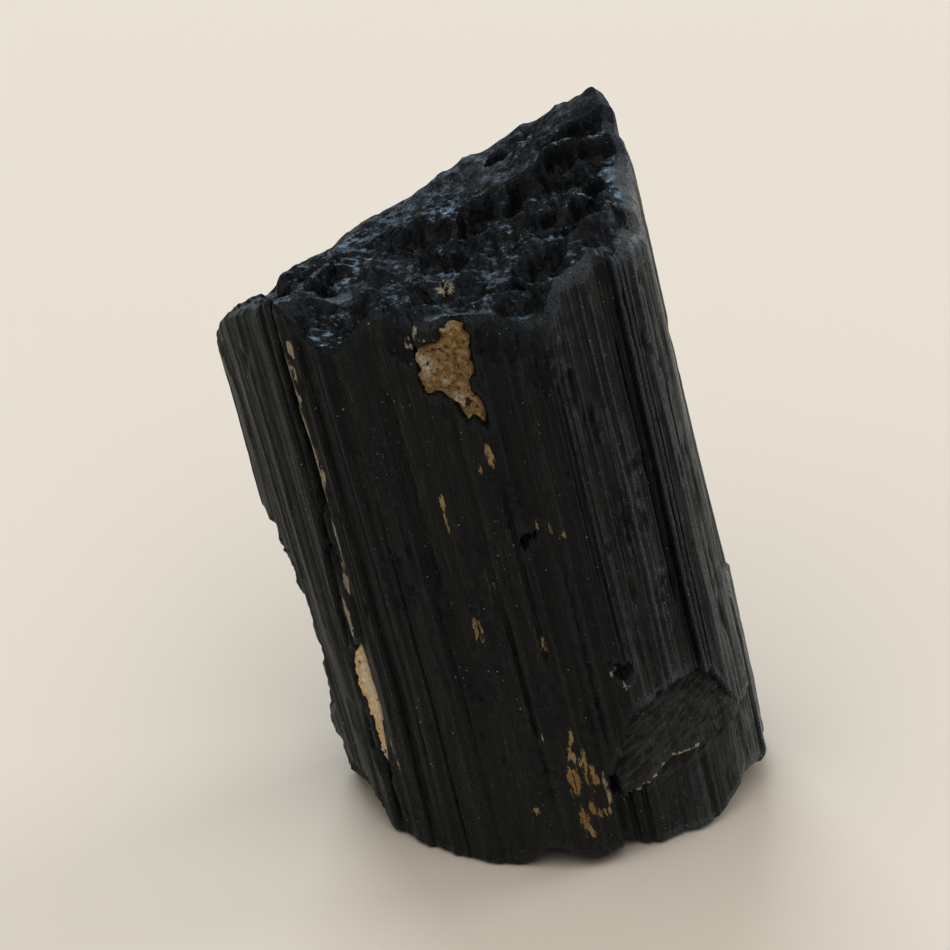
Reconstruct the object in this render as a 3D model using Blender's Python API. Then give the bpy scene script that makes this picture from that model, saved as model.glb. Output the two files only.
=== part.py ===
"""A broken piece of a black tourmaline (schorl) prism, standing on its broken foot and leaning left.

Frame: metres, +Z up, origin in the middle of the flat foot, -Y towards the front, where the pale
mineral patch and the seam show. Shapes are worked out in millimetres in the crystal's own section:
u to the right, v to the back, z up, and w along the section's perimeter, anticlockwise from the back.
The crystal's faces follow its axis, so its section moves by LEAN for each millimetre of height.
"""

import math

import bmesh
import bpy
import numpy as np
from mathutils import Vector, noise
from mathutils.geometry import delaunay_2d_cdt

MM = 0.001
OBJECT_NAME = "tourmaline_crystal"

# Driving dimensions, in millimetres.
LEAN = -0.222  # sideways travel of the axis for each millimetre of height
CORNER_ROUNDING = 1.6
NORMAL_REACH = 3.0  # to both sides of a place, for the direction that its relief stands out in
ROWS = 28
TOP_SPACING = 1.15
FOOT_SPACING = 3.0

# The section's corners, as (u, v).
CORNERS = [
    (8.0, 11.0), (0.0, 9.6), (-8.0, 6.8), (-13.5, 3.6), (-17.2, -1.0), (-14.6, -5.2), (-10.6, -9.6),
    (-5.6, -12.4), (0.4, -13.5), (8.6, -12.2), (16.5, -6.4), (17.4, -2.0), (17.1, 3.4), (16.0, 9.2),
]

# The broken top's edge, as (w, z).
RIM = [
    (0.0, 51.6), (8.1, 47.9), (16.6, 43.8), (22.2, 41.8), (29.0, 41.2), (31.2, 42.6), (34.4, 45.2),
    (37.8, 47.2), (40.8, 48.9), (42.2, 47.0), (44.2, 45.8), (46.0, 46.9), (47.4, 49.4), (48.8, 49.9),
    (50.0, 48.1), (53.0, 49.3), (55.0, 49.5), (57.4, 48.9), (59.1, 46.9), (61.4, 46.7), (62.5, 50.2),
    (66.6, 52.1), (67.9, 50.8), (70.4, 51.6), (74.1, 52.4), (79.5, 54.5), (83.0, 56.2), (85.4, 57.6),
    (88.0, 55.6), (93.7, 51.6),
]

# Stretches of the perimeter (end w, narrowest and widest flute, relief) with their lengthwise flutes.
FLUTES = [
    (27.0, 1.1, 2.6, 0.3), (39.0, 0.7, 1.5, 0.15), (46.0, 0.7, 1.5, 0.25), (60.0, 1.0, 2.4, 0.25),
    (74.0, 0.8, 1.8, 0.3), (94.0, 1.0, 2.4, 0.3),
]
FLUTE_STEP = 0.15  # half the width of the step between two flutes
FLUTE_PROUD = 0.6  # how far flutes stand out, as a share of how far they lie back

SIDE_SWELL = 0.3  # long uneven swells of the side
SWELL_SIZE = 4.0
SWELL_STRETCH = 0.15  # how slowly the swells change along the crystal

# The foot spreads a little at the front (w, how far), up to FLARE_HEIGHT.
FLARE = [(34.0, 0.0), (38.0, 0.7), (48.0, 0.6), (56.0, 0.2), (60.0, 0.0)]
FLARE_HEIGHT = 14.0

# The groove between the left crystal and the main one, as (w, z), open above the pale seam.
GROOVE = [(38.8, 0.0), (37.8, 16.0), (38.2, 25.0), (39.4, 34.0), (39.2, 40.0), (39.9, 50.0)]
GROOVE_HALF_WIDTH = 0.6
GROOVE_DEPTH = 0.7
GROOVE_START = (18.0, 22.0)
LEFT_CRYSTAL = (29.0, 38.4)
LEFT_CRYSTAL_PROUD = 0.25

# The ledge at the lower right (w, z). Under it the crystal is broken back by this depth (w, depth).
LEDGE = [(56.6, 5.4), (57.2, 5.8), (59.7, 6.8), (62.9, 8.2), (68.1, 9.2), (73.5, 10.4)]
LEDGE_DEPTH = [(56.6, 1.6), (59.0, 1.4), (61.5, 0.7), (68.0, 0.6), (72.0, 0.8)]
LEDGE_UNDERCUT = 0.35  # more depth at the foot than under the ledge
LEDGE_SOFTNESS = 1.0
LEDGE_ENDS = (56.5, 57.5, 71.0, 74.0)  # w where it starts, is full, starts to fade and is gone

# The slanting shelf over the ledge (w, z): it goes deeper by SCAR_SLOPE for each millimetre upwards.
SCAR = [
    (56.9, 4.9), (56.9, 7.0), (58.0, 9.6), (59.7, 13.0), (62.6, 13.9), (66.3, 15.1), (68.2, 14.7),
    (69.2, 12.4), (71.0, 9.6), (70.0, 7.5), (62.0, 5.6),
]
SCAR_SLOPE = 0.17
SCAR_EDGE = 0.6

# Broken places on the side: (w, z, half width, half height, depth).
CHIPS = [
    (29.2, 41.6, 2.4, 1.5, 0.5), (29.4, 15.5, 3.8, 10.5, 1.9), (29.5, 3.0, 2.6, 5.0, 0.8),
    (33.0, 0.5, 3.0, 3.2, 0.9), (60.4, 17.2, 1.2, 1.5, 0.7), (55.6, 30.2, 0.7, 0.7, 0.7),
    (62.6, 5.0, 1.0, 1.5, 0.9), (51.8, 0.2, 1.3, 2.2, 1.3), (57.0, 46.8, 2.2, 1.9, 0.3),
    (50.0, 46.9, 1.4, 1.9, 0.3), (75.0, 0.6, 4.5, 3.0, 1.2), (12.0, 14.0, 3.5, 6.0, 1.0),
    (5.0, 34.0, 2.5, 5.0, 0.7), (87.0, 22.0, 2.4, 7.0, 0.8), (20.0, 33.0, 2.0, 5.0, 0.6),
    (16.0, 2.0, 4.0, 3.0, 1.0), (84.0, 2.0, 3.0, 3.0, 1.0),
]
CHIP_FLOOR = 0.55  # the share of a chip's breadth that is its floor

# Wear of the foot's and the rim's edges: the most that is broken back, and how high it reaches.
FOOT_WEAR, FOOT_WEAR_HEIGHT = 0.8, 1.0
RIM_WEAR, RIM_WEAR_HEIGHT = 0.7, 1.2
WEAR_SIZE = 3.0

# Small crystals that stand out of the side: (first w, last w, bottom z, top z, height).
RIBS = [(51.0, 52.6, 45.8, 60.0, 0.35), (73.5, 79.0, 0.0, 18.0, 0.45), (67.2, 68.3, 14.0, 60.0, 0.3)]

# Lumps and hollows of the broken top: (u, v, half width, half depth, rise).
TOP_FORMS = [
    (-8.8, 1.2, 2.4, 3.6, 0.9), (-8.2, -4.4, 2.6, 2.4, -1.3), (-6.6, -10.4, 3.0, 2.4, -1.0),
    (-13.6, -3.6, 2.2, 2.4, 0.3), (-3.0, -4.0, 3.4, 3.6, 0.8), (13.0, -1.2, 1.2, 1.1, 1.3),
    (13.6, -7.0, 1.6, 2.4, 0.5), (9.4, -7.4, 2.6, 2.2, -1.5), (2.0, -9.8, 3.4, 2.2, -0.9),
    (5.0, -3.6, 3.4, 3.0, -0.9), (13.6, 5.6, 3.4, 1.2, -0.8), (15.6, -0.6, 1.6, 3.8, 0.5),
    (9.6, -1.4, 1.3, 1.2, 0.9),
]

# The fall in front of the far terrace: (u, v, height, breadth).
WALL = [
    (-16.0, 4.0, 0.0, 3.0), (-8.0, 5.5, 0.4, 3.5), (-3.4, 5.4, 1.2, 3.5), (0.0, 4.2, 1.5, 1.3),
    (2.6, 4.2, 2.2, 3.2), (5.7, 4.0, 2.5, 1.3), (7.3, 4.0, 2.2, 2.6), (10.3, 4.2, 1.8, 1.3),
    (13.0, 4.3, 1.2, 1.0), (18.0, 4.5, 1.0, 1.0),
]
WALL_FOOT_REACH = 11.0  # how far in front of the fall its depth is made up again
TOP_LUMPS = [(0.4, 4.0, 1), (0.45, 2.2, 52)]  # height, size and seed
RIM_SAMPLES = 240
RIM_BLEND = -1.25  # power of the distance by which the rim's height is spread over the top

# Outlines (w, z) of the pale minerals, how deep they go and how far they stand out.
PATCH = [
    (51.0, 46.5), (50.8, 45.6), (50.6, 44.3), (51.0, 42.9), (52.1, 43.0), (53.0, 42.0), (53.5, 40.6),
    (54.7, 40.1), (54.8, 42.1), (54.4, 43.4), (54.8, 44.8), (55.0, 47.2), (54.6, 48.2), (53.2, 48.1),
    (52.6, 47.4),
]
PATCH_DEPTH = 1.3
PATCH_PROUD = 0.2
SEAM = [
    (38.7, 5.4), (37.7, 6.6), (37.0, 8.6), (37.3, 11.8), (37.2, 15.4), (38.0, 17.2), (38.9, 18.0),
    (39.2, 15.0), (39.3, 11.6), (39.0, 8.2),
]
SEAM_DEPTH = 0.9
SEAM_PROUD = 0.1
EDGE_DEPTH, EDGE_PROUD = 0.5, 0.1  # of each mineral's edge
INLAY_SPACING = 0.9
INLAY_MARGIN = 0.4  # between a mineral's edge and its nearest inner points
INLAY_SLOPE = 1.0  # breadth over which a mineral's edge swells to its middle
GAP = 0.3  # clear space round each mineral that is let into the crystal
POCKET_PROUD = 2.5  # how far the shape that cuts its pocket stands out


def closed_outline(corners, rounding, samples=2400):
    """The corners joined by straight runs and rounded: perimeter, positions on it, and (u, v) there."""
    loop = np.array(corners + corners[:1], float)
    lengths = np.linalg.norm(np.diff(loop, axis=0), axis=1)
    run = np.concatenate([[0], np.cumsum(lengths)])
    at = np.linspace(0, run[-1], samples, endpoint=False)
    places = np.stack([np.interp(at, run, loop[:, k]) for k in range(2)], axis=1)
    reach = int(rounding / run[-1] * samples)
    shifts = range(-reach, reach + 1)
    places = sum(np.roll(places, k, axis=0) for k in shifts) / len(shifts)
    return run[-1], at, places


PERIMETER, OUTLINE_AT, OUTLINE = closed_outline(CORNERS, CORNER_ROUNDING)


def outline_at(w):
    """u and v of the plain section at perimeter positions w."""
    return [np.interp(np.mod(w, PERIMETER), OUTLINE_AT, OUTLINE[:, k], period=PERIMETER) for k in range(2)]


def outward_at(w):
    """The section's outward normal at perimeter positions w."""
    ahead, behind = outline_at(w + NORMAL_REACH), outline_at(w - NORMAL_REACH)
    along_u, along_v = ahead[0] - behind[0], ahead[1] - behind[1]
    length = np.hypot(along_u, along_v)
    return along_v / length, -along_u / length


def stretches(x, parts, column=1):
    """A value along a line, given as corners: the place first, then the values."""
    return np.interp(x, [part[0] for part in parts], [part[column] for part in parts])


def fractal(points, size, seed, octaves=3):
    """Fractal noise, about -1 to 1, with features of this size."""
    shift = Vector((17.3, 5.1, 9.7)) * seed
    return np.array([noise.fractal(Vector(point) / size + shift, 1.0, 2.0, octaves) for point in points])


def smooth_step(x, low, high):
    t = np.clip((x - low) / (high - low), 0, 1)
    return t * t * (3 - 2 * t)


def bump(x, y, centre_x, centre_y, half_x, half_y):
    """1 over a flat-topped oval, falling to 0 outside it."""
    r = np.hypot((x - centre_x) / half_x, (y - centre_y) / half_y)
    return 1 - smooth_step(r, CHIP_FLOOR, 2 * CHIP_FLOOR)


def distance_inside(x, y, outline):
    """Distance to the nearest side of an outline: positive inside it and negative outside."""
    nearest = np.full(np.shape(x), np.inf)
    inside = np.zeros(np.shape(x), bool)
    for (ax, ay), (bx, by) in zip(outline, outline[1:] + outline[:1]):
        dx, dy = bx - ax, by - ay
        t = np.clip(((x - ax) * dx + (y - ay) * dy) / (dx * dx + dy * dy), 0, 1)
        nearest = np.minimum(nearest, np.hypot(x - ax - t * dx, y - ay - t * dy))
        if dy:
            inside ^= ((ay > y) != (by > y)) & (x < ax + (y - ay) * dx / dy)
    return np.where(inside, nearest, -nearest)


def flute_columns():
    """Perimeter positions of both sides of every step between flutes, and the relief of each flute."""
    rng = np.random.default_rng(11)
    edges, levels = [0.0], []
    for end, narrowest, widest, relief in FLUTES:
        while edges[-1] < end:
            edges.append(edges[-1] + rng.uniform(narrowest, widest))
            levels.append(rng.uniform(-relief, relief * FLUTE_PROUD))
    edges = np.array(edges) * PERIMETER / edges[-1]
    starts, ends = edges[:-1] + FLUTE_STEP, edges[1:] - FLUTE_STEP
    return np.stack([starts, ends], axis=1).ravel(), np.repeat(levels, 2)


COLUMNS, FLUTE_RELIEF = flute_columns()


def flat_points(x, y):
    return np.stack([x, y, np.zeros_like(x)], axis=-1)


def side_relief(w, z, rim):
    """How far the side stands out of the plain section, with the rim's height over each place."""
    relief = np.interp(w, COLUMNS, FLUTE_RELIEF, period=PERIMETER)
    u, v = outline_at(w)
    places = np.stack([u, v, z * SWELL_STRETCH], axis=-1)
    relief = relief + SIDE_SWELL * fractal(places, SWELL_SIZE, seed=3)
    relief += stretches(w, FLARE) * np.clip(1 - z / FLARE_HEIGHT, 0, 1)
    left, right = LEFT_CRYSTAL
    relief += LEFT_CRYSTAL_PROUD * smooth_step(w, left, left + 1) * (w < right)
    groove_w = np.interp(z, [p[1] for p in GROOVE], [p[0] for p in GROOVE])
    relief -= GROOVE_DEPTH * (np.abs(w - groove_w) < GROOVE_HALF_WIDTH) * smooth_step(z, *GROOVE_START)
    for first, last, bottom, top, height in RIBS:
        relief += height * ((w > first) & (w < last) & (z > bottom) & (z < top))

    ledge_z = stretches(w, LEDGE)
    start, full, fading, gone = LEDGE_ENDS
    under = 1 - smooth_step(z, ledge_z - LEDGE_SOFTNESS, ledge_z)
    under *= smooth_step(w, start, full) * (1 - smooth_step(w, fading, gone))
    relief -= under * (stretches(w, LEDGE_DEPTH) + LEDGE_UNDERCUT * (1 - np.clip(z / ledge_z, 0, 1)))
    scarred = smooth_step(distance_inside(w, z, SCAR), 0, SCAR_EDGE) * (z > ledge_z)
    relief += scarred * np.minimum(-SCAR_SLOPE * (z - ledge_z) - relief, 0)
    for centre_w, centre_z, half_w, half_z, depth in CHIPS:
        relief -= depth * bump(w, z, centre_w, centre_z, half_w, half_z)

    rough = 0.5 + 0.5 * fractal(flat_points(w, 0 * w), WEAR_SIZE, seed=4)
    relief -= FOOT_WEAR * rough * np.exp(-z / FOOT_WEAR_HEIGHT)
    relief -= RIM_WEAR * (1 - rough) * np.exp(-(rim - z) / RIM_WEAR_HEIGHT)
    return relief


def side_points(w, z, rim):
    """Section coordinates of places on the finished side."""
    u, v = outline_at(w)
    normal_u, normal_v = outward_at(w)
    relief = side_relief(w, z, rim)
    return u + normal_u * relief, v + normal_v * relief


def top_height(u, v):
    """Height of the broken top: spread from its rim, then broken into a terrace, lumps and hollows."""
    rim_w = np.linspace(0, PERIMETER, RIM_SAMPLES, endpoint=False)
    rim_u, rim_v = outline_at(rim_w)
    weight = ((u[:, None] - rim_u) ** 2 + (v[:, None] - rim_v) ** 2 + 0.3) ** RIM_BLEND
    height = (weight * stretches(rim_w, RIM)).sum(axis=1) / weight.sum(axis=1)
    wall_v, fall, breadth = (stretches(u, WALL, column) for column in (1, 2, 3))
    before = 1 - smooth_step(v, wall_v - breadth, wall_v)
    height -= fall * before * np.clip(1 - (wall_v - v) / WALL_FOOT_REACH, 0, 1)
    for centre_u, centre_v, half_u, half_v, rise in TOP_FORMS:
        height += rise * bump(u, v, centre_u, centre_v, half_u, half_v)
    for lump, size, seed in TOP_LUMPS:
        height += lump * fractal(flat_points(u, v), size, seed)
    return height


def to_frame(u, v, z):
    """Section coordinates as metres in the part's frame."""
    return np.stack([u + LEAN * z, v, z], axis=-1) * MM


def rim_of(w):
    return top_height(*outline_at(w))


def add_side(bm):
    """The crystal's side: a grid wrapped round the section, from the foot to the broken top."""
    made = bmesh.ops.create_grid(bm, x_segments=len(COLUMNS), y_segments=ROWS, size=0.5)["verts"]
    across, up = (np.array([vert.co[k] + 0.5 for vert in made]) for k in range(2))
    column = np.rint(across * len(COLUMNS)).astype(int) % len(COLUMNS)
    w = COLUMNS[column]
    rim = rim_of(COLUMNS)[column]
    z = up * rim
    u, v = side_points(w, z, rim)
    for vert, place in zip(made, to_frame(u, v, z)):
        vert.co = place


def add_cap(bm, spacing, heights, side_u, side_v, side_z, flip):
    """A face that closes one end: a jittered net of points inside the end of the side."""
    steps = np.arange(-20, 20, spacing)
    net_u, net_v = (axis.ravel() for axis in np.meshgrid(steps, steps))
    jitter = np.random.default_rng(5).uniform(-0.25, 0.25, (2, len(net_u))) * spacing
    net_u, net_v = net_u + jitter[0], net_v + jitter[1]
    inside = distance_inside(net_u, net_v, list(zip(side_u, side_v))) > 0.5 * spacing
    net_u, net_v = net_u[inside], net_v[inside]
    u, v = np.concatenate([side_u, net_u]), np.concatenate([side_v, net_v])
    z = np.concatenate([side_z, heights(net_u, net_v)])
    flat = [Vector(place) for place in zip(u, v)]
    loop = list(range(len(side_u)))
    _, _, faces, sources, *_ = delaunay_2d_cdt(flat, [], [loop], 1, 1e-6)
    kept = [source[0] for source in sources]
    verts = [bm.verts.new(place) for place in to_frame(u, v, z)[kept]]
    for face in faces:
        bm.faces.new([verts[k] for k in (reversed(face) if flip else face)])


def add_caps(bm):
    """The broken top and the flat foot."""
    rim = rim_of(COLUMNS)
    u, v = side_points(COLUMNS, rim, rim)
    add_cap(bm, TOP_SPACING, top_height, u, v, rim, flip=False)
    foot = np.zeros_like(rim)
    u, v = side_points(COLUMNS, foot, rim)
    add_cap(bm, FOOT_SPACING, lambda net_u, net_v: np.zeros_like(net_u), u, v, foot, flip=True)


def grown(outline, distance):
    """A (w, z) outline with every side moved outwards by this distance."""
    corners = [Vector(point) for point in outline]
    turn = sum(a.x * b.y - b.x * a.y for a, b in zip(corners, corners[1:] + corners[:1]))
    moved = []
    for before, here, after in zip(corners[-1:] + corners[:-1], corners, corners[1:] + corners[:1]):
        first, second = (here - before).normalized(), (after - here).normalized()
        normals = [Vector((run.y, -run.x)) * math.copysign(1, turn) for run in (first, second)]
        bisector = (normals[0] + normals[1]).normalized()
        moved.append(here + bisector * min(distance / bisector.dot(normals[0]), 2 * distance))
    return moved


def add_inlay(bm, outline, depth, proud, edge_depth, edge_proud):
    """A lens let into the side: a net of points over the outline, with an inner and an outer face."""
    low_w, low_z = (min(point[k] for point in outline) for k in range(2))
    high_w, high_z = (max(point[k] for point in outline) for k in range(2))
    steps = np.arange(low_w, high_w, INLAY_SPACING), np.arange(low_z, high_z, INLAY_SPACING)
    net_w, net_z = (axis.ravel() for axis in np.meshgrid(*steps))
    inside = distance_inside(net_w, net_z, outline) > INLAY_MARGIN
    net = [Vector(place) for place in zip(net_w[inside], net_z[inside])]
    loop = list(range(len(outline)))
    points, _, faces, *_ = delaunay_2d_cdt(outline + net, [], [loop], 1, 1e-6)
    w, z = (np.array([point[k] for point in points]) for k in range(2))
    swell = smooth_step(distance_inside(w, z, outline), 0, INLAY_SLOPE)
    u, v = outline_at(w)
    normal_u, normal_v = outward_at(w)
    layers = []
    for edge, middle in ((-edge_depth, -depth), (edge_proud, proud)):
        out = edge + (middle - edge) * swell
        places = to_frame(u + normal_u * out, v + normal_v * out, z)
        layers.append([bm.verts.new(place) for place in places])
    inner, outer = layers
    for face in faces:
        bm.faces.new([outer[k] for k in face])
        bm.faces.new([inner[k] for k in reversed(face)])
    rim = [edge for edge in bm.edges if len(edge.link_faces) == 1]
    bmesh.ops.bridge_loops(bm, edges=rim)


def material(name, colour, roughness):
    made = bpy.data.materials.new(name)
    made.use_nodes = True
    shader = made.node_tree.nodes["Principled BSDF"]
    shader.inputs["Base Color"].default_value = (*colour, 1)
    shader.inputs["Roughness"].default_value = roughness
    shader.inputs["Metallic"].default_value = 0
    made.diffuse_color = (*colour, 1)
    return made


def finish(name, bm, collection, surface=None):
    """The mesh as an object, with its open seams closed and its faces outwards."""
    bmesh.ops.remove_doubles(bm, verts=bm.verts, dist=1e-6)
    bmesh.ops.recalc_face_normals(bm, faces=bm.faces)
    mesh = bpy.data.meshes.new(name)
    bm.to_mesh(mesh)
    bm.free()
    obj = bpy.data.objects.new(name, mesh)
    if surface:
        mesh.materials.append(surface)
    collection.objects.link(obj)
    return obj


def tourmaline_crystal(collection):
    bm = bmesh.new()
    add_side(bm)
    add_caps(bm)
    return finish("tourmaline_crystal", bm, collection, material("tourmaline", (0.022, 0.021, 0.022), 0.42))


def feldspar(name, outline, depth, proud, colour, crystal, collection, cutters):
    """A pale mineral and the pocket it sits in."""
    bm = bmesh.new()
    add_inlay(bm, [Vector(point) for point in outline], depth, proud, EDGE_DEPTH, EDGE_PROUD)
    finish(name, bm, collection, material(name, colour, 0.75))
    bm = bmesh.new()
    add_inlay(bm, grown(outline, GAP), depth + GAP, POCKET_PROUD, EDGE_DEPTH + GAP, POCKET_PROUD)
    cutter = finish(f"{name}_pocket", bm, cutters)
    cutter.hide_render = True
    cutter.display_type = "WIRE"
    cut = crystal.modifiers.new(f"{name}_pocket", "BOOLEAN")
    cut.operation = "DIFFERENCE"
    cut.solver = "EXACT"
    cut.object = cutter


def collection_named(name):
    made = bpy.data.collections.new(name)
    bpy.context.scene.collection.children.link(made)
    return made


def main():
    for obj in list(bpy.data.objects):
        bpy.data.objects.remove(obj)
    pieces = collection_named(OBJECT_NAME)
    cutters = collection_named("cutters")
    crystal = tourmaline_crystal(pieces)
    feldspar("feldspar_patch", PATCH, PATCH_DEPTH, PATCH_PROUD, (0.60, 0.42, 0.22), crystal, pieces, cutters)
    feldspar("feldspar_seam", SEAM, SEAM_DEPTH, SEAM_PROUD, (0.72, 0.56, 0.36), crystal, pieces, cutters)


main()
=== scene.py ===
"""A broken, leaning prism of black tourmaline on a pale floor, seen from the front and above.

Shapes are worked out in millimetres in the crystal's own section, as in the part's source: u to the
right, v to the back, z up, and w along the section's perimeter, anticlockwise from the back. The
crystal's faces follow its axis, so its section moves by LEAN for each millimetre of height.
"""
import math

import bpy
import numpy as np
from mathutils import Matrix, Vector, noise
from mathutils.geometry import delaunay_2d_cdt


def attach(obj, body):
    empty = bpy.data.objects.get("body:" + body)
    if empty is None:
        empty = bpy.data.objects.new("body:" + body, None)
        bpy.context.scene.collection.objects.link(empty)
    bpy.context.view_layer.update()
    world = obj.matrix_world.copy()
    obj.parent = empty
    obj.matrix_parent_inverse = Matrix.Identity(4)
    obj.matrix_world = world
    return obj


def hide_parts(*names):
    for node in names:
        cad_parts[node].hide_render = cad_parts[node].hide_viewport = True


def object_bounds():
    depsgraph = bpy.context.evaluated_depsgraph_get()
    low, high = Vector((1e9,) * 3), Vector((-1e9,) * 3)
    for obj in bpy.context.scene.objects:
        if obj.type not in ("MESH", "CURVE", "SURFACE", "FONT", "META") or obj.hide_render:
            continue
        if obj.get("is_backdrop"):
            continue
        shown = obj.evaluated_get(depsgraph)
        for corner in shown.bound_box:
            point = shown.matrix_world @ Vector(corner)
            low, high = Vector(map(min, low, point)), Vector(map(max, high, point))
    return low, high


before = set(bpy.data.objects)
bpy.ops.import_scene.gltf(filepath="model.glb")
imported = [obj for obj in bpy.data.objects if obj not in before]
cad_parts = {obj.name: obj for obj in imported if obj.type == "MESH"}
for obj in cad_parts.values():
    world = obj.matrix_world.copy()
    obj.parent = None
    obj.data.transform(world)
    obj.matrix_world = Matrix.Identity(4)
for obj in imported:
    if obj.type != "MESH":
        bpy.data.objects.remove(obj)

CAD_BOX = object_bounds()
MM = 0.001

# ---- Driving dimensions, in millimetres ----
LEAN = -0.222
CORNER_ROUNDING = 1.6
NORMAL_REACH = 3.0
CORNERS = [  # u, v
    (8, 11), (0, 9.6), (-8, 6.8), (-13.5, 3.6), (-17.2, -1), (-14.6, -5.2), (-10.6, -9.6), (-5.6, -12.4),
    (0.4, -13.5), (8.6, -12.2), (16.5, -6.4), (17.4, -2), (17.1, 3.4), (16, 9.2),
]
RIM = [  # w, z: the broken top's edge
    (0, 51.6), (8.1, 47.9), (16.6, 43.8), (21, 42.8), (22.2, 41.6), (26, 41.6), (29, 41.2), (31.2, 42.6),
    (34.4, 45.2), (36.4, 46.1), (37.8, 47.2), (38.6, 47.4), (38.9, 48.4), (40.8, 48.9), (41.2, 47.8),
    (42.2, 47), (43, 47.4), (43.4, 46.3), (44.2, 45.8), (45.2, 46), (46, 46.9), (47.1, 47.3), (47.4, 49.4),
    (48.8, 49.9), (49.1, 48.6), (50, 48.1), (51.6, 48), (53, 49.3), (55, 49.5), (57.4, 48.9), (58.3, 48.1),
    (59.1, 46.9), (60.2, 46.4), (61.4, 46.7), (62.1, 48.3), (62.5, 50.2), (64.7, 51.3), (66.6, 52.1),
    (67, 51.3), (67.9, 50.8), (68.3, 51.5), (70.4, 51.6), (74.1, 52.4), (79.5, 54.5), (83, 56.2),
    (85.4, 57.6), (88, 55.6), (93.69, 51.6),
]
RIM_BLUR = 0.3
RIM_FALL = -1.25  # the power by which the rim's hold on the top's height falls with squared distance
FRONT = (27.0, 81.0)  # the perimeter's well seen stretch
FRONT_SPACING = 0.145
BACK_SPACING = 0.36
ROWS = 128
TOP_SPACING = 0.155
FOOT_SPACING = 0.8
NET_REACH = 20  # half the width of the net of points that fills the top and the foot
INSIDE_EDGE = 1  # the triangulation's mode that keeps what lies inside the edge
MERGING = 1e-7

FLUTES = [  # end w, narrowest and widest flute, relief
    (27, 1.1, 2.6, 0.3), (39, 0.7, 1.5, 0.12), (46, 0.7, 1.5, 0.22), (60, 1, 2.4, 0.22), (74, 0.8, 1.8, 0.25),
    (94, 1, 2.4, 0.3),
]
FLUTE_STEP = 0.15
STRIAE = [(31, 0.45, 1.3, 0.045, 30), (32, 0.18, 0.5, 0.022, 20)]  # seed, widths from and to, relief, run
FINE_STRENGTH = [
    (0, 0.8), (28, 0.8), (30, 0.8), (38, 0.8), (41, 1.2), (46, 1), (50, 0.6), (58, 0.6), (61, 1.1), (71, 1.1),
    (75, 0.9), (94, 0.8),
]
PITS = [  # seed, number, half widths from and to, depth, first and last w
    (41, 160, 0.12, 0.3, 0.14, 39, 80), (42, 60, 0.3, 0.6, 0.2, 0, 94),
]
CRESTS = [  # first w, last w, number, height, half width
    (61.2, 71.5, 8, 0.14, 0.08), (39, 50, 10, 0.12, 0.11), (50, 60, 6, 0.06, 0.12), (28, 38, 8, 0.07, 0.09),
    (71.5, 94, 12, 0.15, 0.2), (0, 28, 12, 0.15, 0.2),
]
CREST_MIDDLES = (5, 45)
CREST_HALF_RUNS = (8, 30)
FADE = 2  # how far a ridge or furrow takes to fade out
FURROWS = [  # w, lowest z, highest z, half width, depth
    (47.7, 24, 44, 0.3, 0.14), (54.6, 18, 36, 0.26, 0.16), (57.6, 10, 29, 0.22, 0.16),
    (60.6, 16, 44, 0.2, 0.16), (52.4, 12, 24, 0.3, 0.14), (31.6, 20, 40, 0.14, 0.12),
    (70.6, 18, 50, 0.2, 0.3), (66.4, 20, 46, 0.12, 0.2), (58.5, -4, 7.4, 0.4, 0.16), (59.9, -4, 8, 0.3, 0.2),
    (61.5, -4, 8.6, 0.5, 0.12), (63.4, -4, 4.6, 0.5, 0.1), (65.9, -4, 9.2, 0.4, 0.18),
]
TORN = [  # w, z, half width, half height, depth
    (44.6, 25.6, 1.5, 3.4, 0.1), (48.8, 16.8, 1.5, 2.8, 0.14), (53.8, 15.4, 1.6, 3.4, 0.1),
    (50.6, 20.6, 1, 3, 0.1), (39.3, 33.4, 0.5, 3.6, 0.3), (38.9, 26.2, 0.45, 2.4, 0.35),
    (47.6, 25, 1, 4.2, 0.06), (65.8, 34.4, 1.4, 1, 0.12), (64.2, 29.6, 1.3, 1.8, 0.12),
    (65.6, 23.2, 1.3, 1.9, 0.14), (59.6, 44.6, 1.2, 2.4, 0.2), (61.4, 42, 0.9, 2, 0.15),
    (57, 46.8, 2.2, 1.9, 0.25), (51.2, 29.6, 1.1, 2.2, 0.08), (50.4, 24.6, 0.7, 1.6, 0.1),
    (62.8, 38.4, 0.7, 2.2, 0.12), (50, 46.9, 1.4, 1.9, 0.25), (57.2, 14, 0.9, 2.4, 0.1),
    (52, 9, 1, 3.6, 0.06), (54.4, 34, 1.6, 3, 0.05), (46, 36, 1.4, 3.6, 0.05), (10, 30, 2, 5, 0.3),
    (20, 22, 1.8, 4, 0.3), (4, 18, 2.2, 6, 0.35), (82, 30, 1.6, 5, 0.3), (90, 40, 1.8, 4, 0.3),
]
GROOVE = [(38.8, 0), (37.8, 16), (38.2, 25), (39.4, 34), (39.2, 40), (39.9, 50)]
GROOVE_HALF_WIDTH = 0.34
GROOVE_DEPTH = 0.5
LEFT_CRYSTAL = (29.0, 38.4)
LEFT_CRYSTAL_STEP = 0.25
LEDGE = [
    (56.6, 5.4), (57.2, 5.8), (59.7, 6.8), (62.9, 8.2), (65.2, 8.6), (68.1, 9.2), (71, 9.8), (73.5, 10.4),
]
LEDGE_DEPTH = [(56.6, 1.6), (59, 1.4), (61.5, 0.7), (68, 0.6), (72, 0.8)]  # w, depth under the ledge
LEDGE_UNDERCUT = 0.35
SCAR = [  # w, z: a slanting shelf above the ledge
    (56.9, 4.9), (56.9, 7), (58, 9.6), (59, 11.2), (59.7, 13), (61.1, 13.7), (62.6, 13.9), (64.8, 14.9),
    (66.3, 15.1), (68.2, 14.7), (69.2, 12.4), (71, 9.6), (70, 7.5), (66, 6.4), (62, 5.6),
]
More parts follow.
